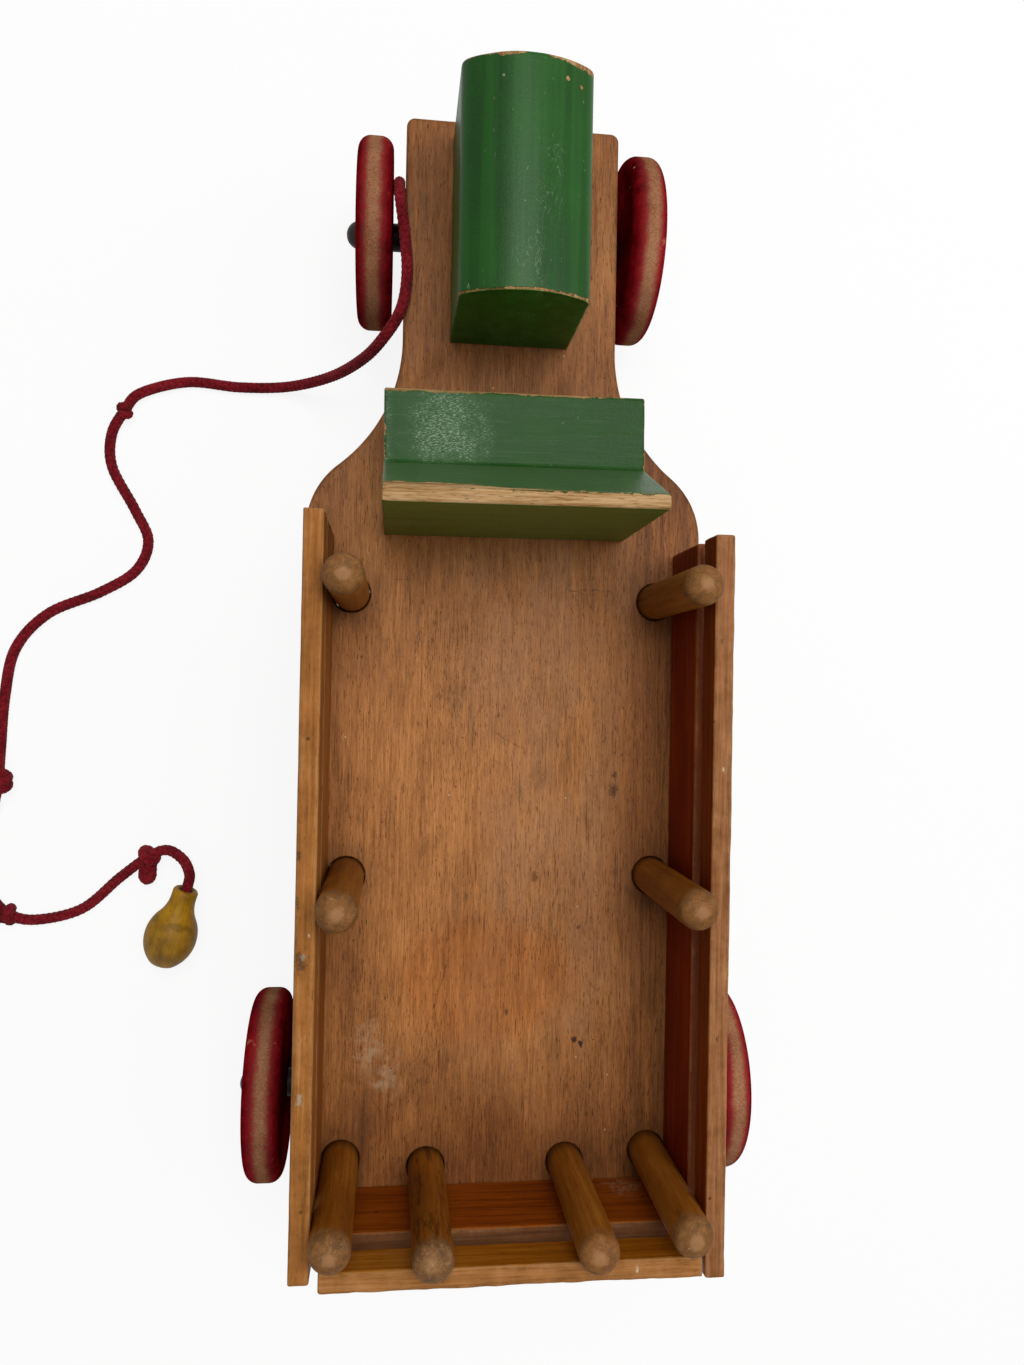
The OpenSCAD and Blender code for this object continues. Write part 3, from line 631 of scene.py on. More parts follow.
deck = {
    **millimetres(
        low=46.7, high=59.4, nose=195, tail=-195, noseHalf=38.6, bedHalf=71.3,
        flareFrom=115, flareTo=47, hollow=58, corner=3, edge=1.1, gap=2.2,
        sideStakes=[24, -75.5, -175], stakeY=54.8, gateStakes=[24.9, -24.9], gateX=-178.2,
        holeRadius=6.65, holeTight=6.42, holeEdge=0.35,
        tightUnder=5, wideUnder=4.7,  # depths of the step in a hole
        screws=[(123.7, 0), (138.7, 0), (67, 26), (67, -26)], sinkRadius=3.53, sinkDepth=1.75),
    "tones": ("552f13", "7e4c25", "9b6334"), "fibreSizes": ((60, 950), (200, 2600)),
    "pores": ("3b1808", 0.67, 0.75), "rings": (0.022, 0.030, 0.035, 0.0042), "shares": (0.6, 0.65, 0.8, 0.06),
    # the mid bed's factor lightens the colour there: painted light
    "wander": 0.5, "walls": 4, "litMidBed": (1.66, 1.85, 1.96), "amber": (0.98, 0.87, 0.74),
    "marks": [  # dark ones on the bed: place, radius in millimetres, strength
        (-134.9, -27.8, 1.1, 0.9), (-136.2, -30.2, 0.9, 0.9), (-39.2, -40.8, 1.1, 0.75),
        (-44.7, -40.5, 1.8, 0.7), (-76.1, -12.5, 1.4, 0.5), (-82.8, 12.6, 1.2, 0.4), (-124.5, -3, 0.9, 0.6),
        (-94.5, -28.5, 0.8, 0.6), (-14.1, 18.2, 3.2, 0.25), (-39.8, -12.9, 3.6, 0.25)],
    "scuffs": [(-140.4, 43.3, 10), (-131.0, 45.6, 7), (-148.3, 38.6, 7)],
    "scratches": [  # from and to
        (27.5, -40, 27.5, -21), (29.5, 34, 29.5, 41), (-103.9, 17.8, -124, 23.5), (-124, 23.5, -145.6, 30.4),
        (-140.2, 21.8, -158.4, 29), (-111, 33, -132, 38), (-24, 4, -31, -9), (12, 31, -6, 33)],
}


def stakePlaces(s):  # body and place of each stake
    places = {}
    for name, px in zip(("front", "middle", "rear"), s["sideStakes"]):
        for rack, side in (("left", 1), ("right", -1)):
            places[rack + "_" + name] = (rack + "_rack", px, side * s["stakeY"])
    for name, py in zip(("left", "right"), s["gateStakes"]):
        places["tailgate_" + name] = ("tailgate", s["gateX"], py)
    return places


def deckOutline(s):
    radii, turn = ogee(s["flareFrom"] - s["flareTo"], s["bedHalf"] - s["noseHalf"])
    crown = radii - s["hollow"]
    r = s["corner"]
    left = [
        *arc((s["nose"] - r, s["noseHalf"] - r), r, 0, 90, 9),
        *arc((s["flareFrom"], s["noseHalf"] + s["hollow"]), s["hollow"], -90, -90 - turn, 40),
        *arc((s["flareTo"], s["bedHalf"] - crown), crown, 90 - turn, 90, 30)[1:],
        *arc((s["tail"] + r, s["bedHalf"] - r), r, 90, 180, 9),
    ]
    right = [(x, -y) for x, y in reversed(left)]
    return spaced(np.array([*left, *right]), s["gap"])


def deckFinish(s):
    start, place = startFinish("deckVarnish")
    x, y, _ = place.parts()
    colour, relief = woodTones(start, stored(start, "grain"), s)
    drift = place.grainy((9, 12)) - 0.5
    soot = place.grainy(220, 3, 0.6)
    smudge = soot - 0.5
    # painted light and shade: this mask is 1 on the middle of the bed, which is made paler; it falls off
    # along both racks, at the rear and at the nose, which stay darker as painted shade
    litMidBed = (y + drift * 0.03).step(-0.056, -0.034) * (1 - (y - drift * 0.02).step(0.038, 0.060) * 0.55)
    litMidBed = litMidBed * (x + drift * 0.06).step(-0.172, -0.128) * (1 - x.step(0.05, 0.09) * 0.75)  # paler mid bed
    dull = place.grainy((24, 60), 3, 0.6).step(0.36, 0.66) * (0.03 - y).step(0.0, 0.035) * litMidBed
    # the mid bed is lightened here as painted light, and the dull patches are varnish worn through
    colour = litMidBed.dyed(colour, s["litMidBed"]).stained((dull * 0.42, "966c4e"))  # varnish worn through
    amber = place.spot((-112.308, 2), (17, 31), drift * 0.04 + smudge * 0.012, (1.3, 0.85))
    colour = amber.dyed(colour, s["amber"])
    line = place.grainy((60, 1500)).step(0.64, 0.68)
    edging = place.grainy((14, 430)).step(0.48, 0.62) * (0 - y).step(0.043, 0.054)
    dust = place.grainy((1200, 2300), 2, 0.7).step(0.5, 0.78) * (0.1 + litMidBed * 0.22) * (1 - amber * 0.6)
    flat = place.stretch((1, 1, 0))
    holes = [flat.away((px, py, 0)) for _, px, py in stakePlaces(s).values()]
    near = holes[0]
    for hole in holes[1:]:
        near = near.least(hole)
    # painted shade: the deck is darkened in each stake hole and on its rim, and more faintly in a ragged ring
    # round it
    around = (near + smudge * 0.008).fall(0.007, 0.017) * 0.3
    dark = (near.fall(0.0066, 0.0074) * 0.75).most(around)
    layers = [(line * 0.55, "4a230d"), (edging * 0.4, "361a0c"), (dust, "b98d6c"), (dark, "2f170b")]
    crumb = place.grainy((700, 900), 3, 0.65)
    for mx, my, size, strength in s["marks"]:
        ragged = (crumb - 0.5) * (size * mm * 3)
        mark = place.spot((mx, my), (size * 0.35, size * 1.1), ragged, (0.7, 1))
        layers.append((mark * strength, "2a1710"))
    broken = crumb.step(0.38, 0.58) * 0.5
    for x0, y0, x1, y1 in s["scratches"]:
        span = math.hypot(x1 - x0, y1 - y0)
        dx, dy = (x1 - x0) / span, (y1 - y0) / span
        along = (x - x0 * mm) * dx + (y - y0 * mm) * dy
        aside = abs((y - y0 * mm) * dx - (x - x0 * mm) * dy + smudge * 0.0024)
        cut = aside.fall(0.0001, 0.0004) * along.step(0.0, 0.003) * along.fall((span - 3) * mm, span * mm)
        layers.append((cut * broken, "2f1a0f"))
    pale = place.grainy(260, 3, 0.7).step(0.34, 0.7) * 0.45
    for mx, my, size in s["scuffs"]:
        layers.append((place.spot((mx, my), (size * 0.2, size), smudge * 0.016) * pale, "ad9272"))
    rightHalf = (0 - y - drift * 0.05).step(-0.025, 0.05)  # more open pores there
    openPores = place.grainy((230, 2600), 1).step(0.67, 0.71) * rightHalf
    dirt = place.grainy((34, 60), 4, 0.65).step(0.56, 0.75)
    grit = place.specks(230, 0.09, 0.25)
    wear = stored(start, "wear") * soot.step(0.36, 0.62)
    lint = place.specks(150, 0.06, 0.18)
    layers += [(openPores * 0.6, "331a0d"), (dirt * 0.3, "3f2a1c"), (lint * 0.6, "c9b79c"),
               (grit * 0.55, "2b150b"), (wear * 0.35, "4a2711")]
    gloss = 0.44 + soot * 0.12 + dirt * 0.15
    return closeFinish(start, colour.stained(*layers), gloss, relief - grit * 0.3, 0.00012, 0.12)


def makeDeck(s):
    low, high, wide, tight, edge = s["low"], s["high"], s["holeRadius"], s["holeTight"], s["holeEdge"]
    wall = [(low, tight + 2 * edge, 0), (low, tight + edge, 0.7), (low + edge, tight, 0.7),
            (high - s["tightUnder"], tight, 0), (high - s["wideUnder"], wide, 0), (high - 2 * edge, wide, 0),
            (high - edge, wide, 0.7), (high, wide + edge, 0.7), (high, wide + 2 * edge, 0)]
    holes = [(np.array((px, py)), wall) for _, px, py in stakePlaces(s).values()]
    pockets = [(np.array(p), s["sinkRadius"], s["sinkDepth"]) for p in s["screws"]]
    piece = blockPiece("deckBoard", deckOutline(s), (low, high), s, [0, 1, 2], [0, 1, 2], deckFinish(s),
                       holes, pockets)
    standsFor(piece, "deck", "truck")


makeDeck(deck)
print("deck sawn and drilled")


slats = {
    "edge": 0.8 * mm,
    "side": millimetres(x=(-191, 43), y=(61.2, 67.54), ahead=1.7),
    "gate": millimetres(x=(-190.94, -184.6), y=(-59.75, 58.45), lift=2),
    "heights": millimetres(lower=(59.4, 90.9), upper=(98.1, 111.1)),
    # each slat's colours: a red-brown stain; the right rack's are darker and redder than the left's, and each
    # lower slat's a little darker than the upper's, as painted shade with painted warm light from the deck
    "tones": {
        "left_lower": ("4c2508", "7d4516", "9a642c"), "left_upper": ("50280a", "844a16", "a0682c"),
        "right_lower": ("470f02", "701f03", "8c3a0e"), "right_upper": ("491903", "742d05", "90481a"),
        "tailgate_lower": ("5c2402", "863e04", "a2571a"), "tailgate_upper": ("6c3c06", "935509", "ac722c")},
    "fibreSizes": ((16, 560), (60, 1900)),
    "pores": ("2a1006", 0.70, 0.5), "rings": (0.006, 0.013, 0.02, 0.0034), "shares": (0.7, 0.6, 0.8, 0.12),
    "topTones": {  # of the upper slats' top edges, and of the lower ones'
        "left": ("6d4722", "a66c36", "bf905f"), "right": ("6d4722", "9f7049", "bf905f"),
        "tailgate": ("6d4722", "a87446", "bf905f"), "lower": ("43301f", "64482f", "87694c")},
    # of the lower slats, and of all upper ones
    "topShare": {"left": 0.75, "right": 0.45, "tailgate": 0.75, "upper": 0.75},
    "marks": {  # on the top edges: place and size in millimetres, colour
        "left_upper": [
            (-92.2, 65.6, 2.6, "4a3626"), (-90.6, 64.6, 1.1, "a08d76"), (-133.4, 65.1, 1.5, "a8957c"),
            (-74.8, 67.2, 1.6, "3a2a1e"), (-84.1, 63.2, 0.6, "bfb19a"), (-60, 66.9, 1.2, "3a2a1e")],
        "right_upper": [
            (7.1, -63.4, 0.9, "3f291b"), (-33.3, -64.4, 0.7, "c9b492"), (-118, -63.9, 0.9, "3f291b")],
        "tailgate_upper": [(-188.1, 21, 0.9, "3a2413"), (-187.6, -39, 0.8, "c9b492")]},
    "smear": metres((-184.6, -46, 66)),  # on the tailgate's inner face
}


def slatFinish(rack, row, s):
    start, place = startFinish(rack + row.capitalize() + "SlatWood")
    grain, wear = stored(start, "grain"), stored(start, "wear")
    upper = row == "upper"
    colour, relief = woodTones(start, grain, {**s, "tones": s["tones"][rack + "_" + row]})
    soot = place.grainy(160, 3, 0.65)
    smudge = soot - 0.5
    lines = grain.grainy((30, 900), 3, 0.6)
    ahead, aside, up = facing(start)
    top = up.step(0.55, 0.9)
    # the outer faces are blended towards a plain brown, so that the painted shade of the inner faces stays on
    # the inside
    outer = {"left": aside, "right": 0 - aside, "tailgate": 0 - ahead}[rack].step(0.5, 0.9)
    # the top edges take paler tones: worn wood, with painted light from above
    paleAndLit = (lines + smudge * 0.6).ramp((0.25, 0.6, 0.9), s["topTones"][rack if upper else row])
    layers = [(outer * 0.4, "7c4a20"), (top * s["topShare"]["upper" if upper else rack], paleAndLit)]
    crumb = place.grainy(700, 3, 0.65) - 0.5
    dent = top * 0
    for mx, my, size, code in s["marks"].get(rack + "_" + row, []):
        spot = place.spot((mx, my), (size * 0.2, size * 0.9), crumb * (size * mm * 2.5), (0.6, 1))
        layers.append((spot * 0.75, code))
        dent = dent.most(spot)
    chip = (wear * 1.2 + smudge * 1.6).step(0.62, 0.95)
    grime = (1 - wear) * place.grainy((50, 50, 90), 4, 0.7).step(0.55, 0.8)
    layers += [(chip * (0.5 if upper else 0.25), "a07547"), (grime * 0.3, "2c1409")]
    if rack == "tailgate" and not upper:
        smear = (place.away(s["smear"]) + smudge * 0.022).fall(0.002, 0.008) * crumb.step(-0.12, 0.12)
        layers.append((smear * 0.35, "b59a7a"))
    lint = place.specks(210, 0.07, 0.1) * 0.5 * (1 - top * 0.4)
    layers += [(place.specks(120, 0.09, 0.2) * 0.6, "2a1409"), (lint, "c8bcae")]
    rough = 0.42 + top * 0.18 + soot * 0.1
    return closeFinish(start, colour.stained(*layers), rough, relief - chip * 0.3 - dent * 0.8, 0.00015, 0.08)


def makeSlats(s):
    count = 0
    for rack, side in (("left", 1), ("right", -1), ("tailgate", 0)):
        for row in ("lower", "upper"):
            z0, z1 = s["heights"][row]
            if side:
                y0, y1 = sorted(side * y for y in s["side"]["y"])
                x0, x1 = (x + side * s["side"]["ahead"] for x in s["side"]["x"])
                cells, wander, axes = (90, 2, 9), 0.75, [0, 1, 2]
            else:
                (x0, x1), (y0, y1) = s["gate"]["x"], s["gate"]["y"]
                z0, z1 = (z + (s["gate"]["lift"] if row == "upper" else 0) for z in (z0, z1))
                cells, wander, axes = (2, 50, 9), 1.1, [1, 0, 2]
            count += 1
            name = rack + "_" + row
            piece = boardPiece(name + "Slat", (x0, y0, z0), (x1, y1, z1), s["edge"], cells, wander, axes,
                               count * 1.3, slatFinish(rack, row, s))
            standsFor(piece, name + "_slat", rack + "_rack" if side else rack)


makeSlats(slats)
print("slats planed")


stakes = {
    **millimetres(radius=6.35, foot=47.7, tip=123.4, dome=8, chamfer=1, soft=1.3),  # the dome's rim is soft
    "segments": 48, "wobble": 0.006,
    "tones": ("562a06", "7f490c", "9b6222"), "fibreSizes": ((30, 620), (110, 2200)),
    "pores": ("2b1408", 0.70, 0.5), "rings": (0.004, 0.006, 0.01, 0.0028), "shares": (0.5, 0.4, 1.0, 0.06),
    "lean": millimetres(tailgate_left=(-0.8, -0.6), tailgate_right=(-0.5, -0.9)),  # of the tip
    "bruised": {"tailgate_left": 1.0, "left_rear": 0.1, "right_middle": -0.2, "tailgate_right": -0.5},
}


def stakeFinish(s):
    start, place = startFinish("stakeDowel")
    grain, tone = stored(start, "grain"), stored(start, "tone")
    x, y, z = place.parts()
    colour, relief = woodTones(start, grain, s)
    soot = grain.grainy((240, 300), 3, 0.65)
    smudge = soot - 0.5
    height = s["tip"] - s["foot"]
    tip = (z + smudge * 0.006).step(height - 0.0085, height - 0.003)
    pores = grain.grainy((900, 1900), 2, 0.6)
    endGrain = (pores * 0.4 + soot * 0.7).ramp((0.36, 0.55, 0.76), ("573a20", "775433", "967049"))
    crown = ((x * x + y * y) ** 0.5 + smudge * 0.005).fall(0.0012, 0.0031) * tip
    dirty = grain.grainy((330, 420), 3, 0.7).step(0.44, 0.66) * tip * (1 - crown)
    bruise = (grain.grainy((80, 430), 3, 0.7) + tone * 0.07).step(0.60, 0.71)
    foot = (z + smudge * 0.004).fall(0.0115, 0.0185)
    flakes = (grain.grainy((420, 900), 2, 0.6) + tone * 0.03).step(0.69, 0.75) * tip.between(0.2, 0.8)
    colour = colour.stained(
        (tip * (0.6 + tone * 0.25), endGrain), (crown * 0.5, "a87e57"), (dirty * 0.55, "4b3823"),
        (bruise * (0.38 + tone * 0.22) * (1 - tip * 0.65), "2b1509"),
        (foot * 0.55, "2b160a"), (flakes * 0.5, "bd9d76"))
    relief = relief * 0.7 + pores * tip * (0.3 + tone * 0.5) - bruise * 0.3
    return closeFinish(start, colour, 0.40 + tip * 0.2 + soot * 0.1, relief, 0.00018, 0.15)


def stakeProfile(s):
    height, r, dome = s["tip"] - s["foot"], s["radius"], s["dome"]
    shoulder = height - dome + math.sqrt(dome * dome - r * r)
    top = arc((0, height - dome), dome, math.degrees(math.acos(r / dome)), 90, 14)
    walls = [(r, h) for h in np.linspace(s["chamfer"], shoulder - s["soft"], 16)]
    rim = [(r - 0.12 * mm, shoulder - 0.5 * mm), (r - 0.42 * mm, shoulder + 0.25 * mm)]
    return [(0, 0), (r - s["chamfer"], 0), *walls, *rim, *[tuple(p) for p in top[2:-1]], (0, height)]


def makeStakes(s):
    finish = stakeFinish(s)
    height = s["tip"] - s["foot"]
    for k, (name, (body, px, py)) in enumerate(sorted(stakePlaces(deck).items())):
        tone = s["bruised"].get(name, 0.0)
        piece = turnedPiece(name + "Stake", stakeProfile(s), s, 2.0 + k * 1.7, tone, finish)
        dx, dy = s["lean"].get(name, (0, 0))
        lean = Matrix(((1, 0, dx / height, 0), (0, 1, dy / height, 0), (0, 0, 1, 0), (0, 0, 0, 1)))
        piece.data.transform(lean)
        piece.matrix_world = Matrix.Translation((px, py, s["foot"]))
        standsFor(piece, name + "_stake", body)


makeStakes(stakes)
print("stakes set")


blocks = {
    "tones": ("4d2810", "7c4a24", "996236"), "fibreSizes": ((16, 420), (60, 1700)),
    "pores": ("2e1508", 0.66, 0.6), "rings": (0.008, 0.02, 0.04, 0.004), "shares": (1.1, 0.8, 1.1, 0.3),
    "middle": 0.034,  # height of the axle
}


def blockFinish(s):
    start, place = startFinish("axleBlockWood")
    x, y, z = place.parts()
    grain = start.make("ShaderNodeCombineXYZ", {}, {0: y, 1: x, 2: z - s["middle"]})
    colour, relief = woodTones(start, grain, s)
    soot = place.grainy(120, 4, 0.65)
    ends = abs(facing(start)[1]).step(0.7, 0.95) * place.grainy((700, 40, 700), 3, 0.6).step(0.4, 0.65)
    under = (z + (soot - 0.5) * 0.006).fall(0.0213, 0.0245)
    colour = colour.stained((ends * 0.5, "3c200e"), (under * 0.35, "35200f"))
    return closeFinish(start, colour, 0.5 + soot * 0.15, relief, 0.00015, 0.2)


def useFinish(finish, names):
    for name in names:
        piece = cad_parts[name]
        piece.data.materials.clear()
        piece.data.materials.append(finish)


useFinish(blockFinish(blocks), ["front_axle_block", "rear_axle_block"])
print("axle blocks finished")


# green paint over wood

bareWood = {
    "tones": ("6c4a25", "9a7548", "b9966b"), "fibreSizes": ((40, 900), (120, 2400)),
    "pores": ("5b3d1e", 0.62, 0.6), "rings": (0.004, 0.02, 0.02, 0.0036), "shares": (1.2, 0.9, 0.9, 0.25),
}


def paintOver(start, place, grain, bare, s):  # worn paint on bare wood; bare is 1 where the paint is gone
    wood, woodRelief = woodTones(start, grain, bareWood)
    cloud = place.grainy((26, 40), 3, 0.6) - 0.5
    peel = place.grainy(1500)
    brush = grain.grainy((22, 900))
    shade = 0.5 + cloud * 0.9 + (peel - 0.5) * 0.45 + (brush - 0.5) * 0.35
    nicks = place.specks(110, 0.06, 0.08) * (1 - bare)
    scratch = place.grainy((260, 900, 520), 1, 0.5, 1.2).step(0.765, 0.79)
    rim = bare * (1 - bare) * 4
    colour = shade.ramp((0.15, 0.5, 0.85), s["paint"]).stained(
        (nicks * 0.8, "8a9a78"), (scratch * 0.5, "83967a"), (bare, wood), (rim * 0.5, "26401c"))
    rough = bare.between(s["gloss"] + cloud * 0.2 + (peel - 0.5) * 0.25 + (brush - 0.5) * 0.25, 0.72)
    relief = 1.0 + peel * s["peel"] + brush * 0.15 - nicks * 0.5 - scratch * 0.3
    return colour, rough, bare.between(relief, woodRelief * 0.5)


hood = {
    **millimetres(x=(114.7, 189.3), half=21.3, foot=59.4, aside=0.5, arch=34, archZ=18.3, archHalf=19.1,
                  shoulder=5, shoulderY=16.3, shoulderZ=42.29, edge=0.8, gap=1.6),
    "paint": ("0c3306", "13430a", "1d5212"), "gloss": 0.40, "peel": 0.35, "wander": 0.6, "walls": 12,
    "chips": [(182.7, -11.7, 1.0), (181.6, -16.7, 0.6)],
    "scuffs": [(142.3, -6.2, 9), (127.1, -0.4, 10), (157.7, -8.4, 5), (118, -3, 6)],  # scratched places
}


def hoodOutline(s):
    meet = math.degrees(math.acos(s["archHalf"] / s["arch"]))
    turn = math.degrees(math.acos((s["archHalf"] - s["shoulderY"]) / s["shoulder"]))
    foot = s["foot"]
    right = arc((s["shoulderY"], foot + s["shoulderZ"]), s["shoulder"], 0, turn, 9)
    arch = arc((0, foot + s["archZ"]), s["arch"], meet, 180 - meet, 40)
    left = [(-y, z) for y, z in right[::-1]]
    return spaced(np.array([(-s["half"], foot), (s["half"], foot), *right, *arch[1:-1], *left]), s["gap"])


def hoodFinish(s):
    start, place = startFinish("hoodPaint")
    x, y, z = place.parts()
    ahead = facing(start)[0]
    ragged = place.grainy(240, 4, 0.65) - 0.5
    coarse = place.grainy(70) - 0.5
    height = (z - 0.101).step(-0.012, 0.004)
    reach = (0.0004 + (0 - y).step(0.001, 0.017) * 0.0022 + coarse * 0.005) * height  # further on the right
    chipped = (s["x"][1] - x + ragged * 0.0035 - reach).fall(-0.0001, 0.0002)
    rear = (x - s["x"][0] + ragged * 0.0022 - (0.0008 + coarse * 0.0012) * height).fall(-0.0001, 0.0002)
    corner = (stored(start, "wear") * (0.3 + ragged * 2.2)).step(0.42, 0.5) * 0.9
    bare = chipped.most(rear).most(corner) * abs(ahead).fall(0.75, 0.95)  # chips stay off the end faces
    for px, py, size in s["chips"]:
        bare = bare.most(place.spot((px, py), (size * 0.7, size), ragged * 0.003))
    colour, rough, relief = paintOver(start, place, stored(start, "grain"), bare, s)
    painted = 1 - bare
    hair = abs(place.grainy((230, 420, 200), 2, 0.5, 0.8) - 0.5).fall(0.003, 0.012)
    layers = []
    for px, py, size in s["scuffs"]:
        rub = place.spot((px, py), (size * 0.3, size), ragged * 0.012, (0.8, 1.3))
        layers.append((rub * hair * 0.4 * painted, "7d9472"))
    bands = place.grainy((6, 190)).step(0.42, 0.66)  # lighter streaks along the brush strokes: painted sheen
    layers.append((bands * 0.3 * painted, "2f6428"))
    # painted shade: the left side of the hood is darkened
    colour = y.step(0.002, 0.014).dyed(colour.stained(*layers), (0.70, 0.76, 0.66))
    # painted light: the faces towards the rear are made lighter and greener
    colour = (0 - ahead).step(0.6, 0.9).dyed(colour, (1.15, 1.5, 1.0))
    return closeFinish(start, colour, rough, relief, 0.00016, 0.16)


def makeHood(s):
    piece = blockPiece("hoodBlock", hoodOutline(s), s["x"], s, [2, 0, 1], [0, 1, 2], hoodFinish(s))
    piece.matrix_world = Matrix.Translation((0, s["aside"], 0))
    standsFor(piece, "hood_block", "truck")


seat = {
    **millimetres(front=89, step=64.6, backTop=50, rear=45.4, half=43.3, foot=59.4, seatZ=90.6, topZ=124.8,
                  edge=0.7, corner=1.4, aside=0.6, gap=1.6),
    "yaw": 0.5,  # not quite square to the deck
    "paint": ("13340b", "1c4212", "28501c"), "gloss": 0.40, "peel": 0.8, "wander": 0.6, "walls": 16,
}


def seatOutline(s):
    corners = np.array([
        (s["foot"], s["rear"]), (s["foot"], s["front"]), (s["seatZ"], s["front"]),
        (s["seatZ"], s["step"]), (s["topZ"], s["backTop"]), (s["topZ"], s["rear"])])
    loop = []
    for before, here, after in zip(np.roll(corners, 1, 0), corners, np.roll(corners, -1, 0)):
        back = (before - here) / np.linalg.norm(before - here)
        on = (after - here) / np.linalg.norm(after - here)
        for t in np.linspace(0, 1, 7):  # a small curve at each corner
            a, b = here + back * s["corner"] * (1 - t), here + on * s["corner"] * t
            loop.append(a + (b - a) * t)
    return spaced(np.array(loop)[::-1], s["gap"])


def seatFinish(s):
    start, place = startFinish("seatPaint")
    x, y, z = place.parts()
    ahead = facing(start)[0]
    seatZ = s["seatZ"]
    ragged = place.grainy((260, 200, 260), 4, 0.65) - 0.5
    coarse = place.grainy(60) - 0.5
    down = s["topZ"] - z
    toLeft = y.step(-0.015, 0.043)
    forward = ahead.step(0.5, 0.8) * z.step(seatZ + 0.001, seatZ + 0.002)  # front of the back rest
    topReach = s["backTop"] - x + ragged * 0.004 + coarse * 0.0015 + toLeft * 0.001
    topBare = down.fall(0.0005, 0.0008) * topReach.step(0.0, 0.0003)
    fringe = down + ragged * 0.007 + coarse * 0.004 - 0.0006 - toLeft * 0.0055
    rubbedOff = fringe.fall(-0.0002, 0.0003) * forward
    frontEdge = (s["front"] - x).most(seatZ - z)
    line = (frontEdge + ragged * 0.003 - 0.0007 - toLeft * 0.0006 - coarse * 0.002).fall(-0.0001, 0.0002)
    ends = s["half"] - abs(y)
    corner = (stored(start, "wear") * (0.35 + ragged * 2.2)).step(0.40, 0.48) * ends.step(0.02, 0.0)
    bare = topBare.most(rubbedOff).most(line * 0.9).most(corner.step(0.5, 0.6))
    painted = 1 - bare
    grain = start.make("ShaderNodeCombineXYZ", {}, {0: y, 1: x, 2: z})
    colour, rough, relief = paintOver(start, place, grain, bare, s)
    cloud = place.grainy((150, 110, 150), 3, 0.6) - 0.5
    # painted highlight: this mask marks the lit patch of the seat, round a point left of centre and along the
    # left end, where a paler tone and the painted glint sit
    paleAndLit = (place.stretch((0.7, 0.9, 1)).away((0.0535, 0.0195, seatZ)) + cloud * 0.024).fall(0.002, 0.018)
    paleAndLit = paleAndLit.most(ends.fall(0.001, 0.004) * y.step(0.0, 0.01) * (0.4 + cloud * 2))
    paleAndLit = paleAndLit * z.step(seatZ - 0.0008, seatZ - 0.0003) * (1 - forward)
    # painted glint: pale streaky specks inside the lit patch
    strokes = place.grainy((3600, 900, 3600), 4, 0.75)
    shine = (strokes + paleAndLit * 0.08).step(0.56, 0.74) * paleAndLit
    swept = grain.grainy((60, 1900), 3, 0.65)
    behind = (0 - ahead).step(0.6, 0.9)
    # the rear faces turn olive: thin paint over wood, made lighter as painted light
    olive = grain.grainy((14, 500), 3, 0.6).ramp((0.3, 0.7), ("566722", "6f7f31"))
    # layers: the front of the back rest made paler, painted light; a pale glint, painted highlight; the lit
    # patch made paler, painted highlight; lighter and darker brush streaks; the rear faces olive
    colour = colour.stained(
        (forward * 0.35 * painted, "5d7551"), (shine * 0.7 * painted, "b9c5b5"),
        (paleAndLit * 0.12 * painted, "5f7f58"), (swept.step(0.55, 0.75) * 0.22 * painted, "5d7a55"),
        (swept.fall(0.30, 0.45) * 0.35 * painted, "12300b"), (behind * 0.75 * painted, olive))
    return closeFinish(start, colour, rough, relief, 0.00018, 0.12)


def makeSeat(s):
    ends = (-s["half"], s["half"])
    piece = blockPiece("benchSeat", seatOutline(s), ends, s, [1, 2, 0], [1, 0, 2], seatFinish(s))
    pivot = Matrix.Translation((s["rear"], 0, 0))
    turn = pivot @ Matrix.Rotation(math.radians(s["yaw"]), 4, "Z") @ pivot.inverted()
    piece.matrix_world = Matrix.Translation((0, s["aside"], 0)) @ turn
    standsFor(piece, "bench_seat", "truck")


makeHood(hood)
makeSeat(seat)
print("hood and seat painted")


# wheels

wheels = {
    **millimetres(
        radius=34, thick=12.9, edge=4.6, bore=2.58, axleZ=34,
        front=(162.5, 43.1), rear=(-156.8, 77.8),  # along the truck, and the inner face's distance out
        rearShift=-2,  # the rear axle sits a little to the right
        # half width and shift outwards, wheel by wheel
        bands=[(2.3, 0.3), (2.4, 0.9), (2.1, -0.4), (2.2, 0.9)]),
    "paint": ("3c0408", "720a12", "94181f"),
    "segments": 96, "wobble": 0.0016,
}


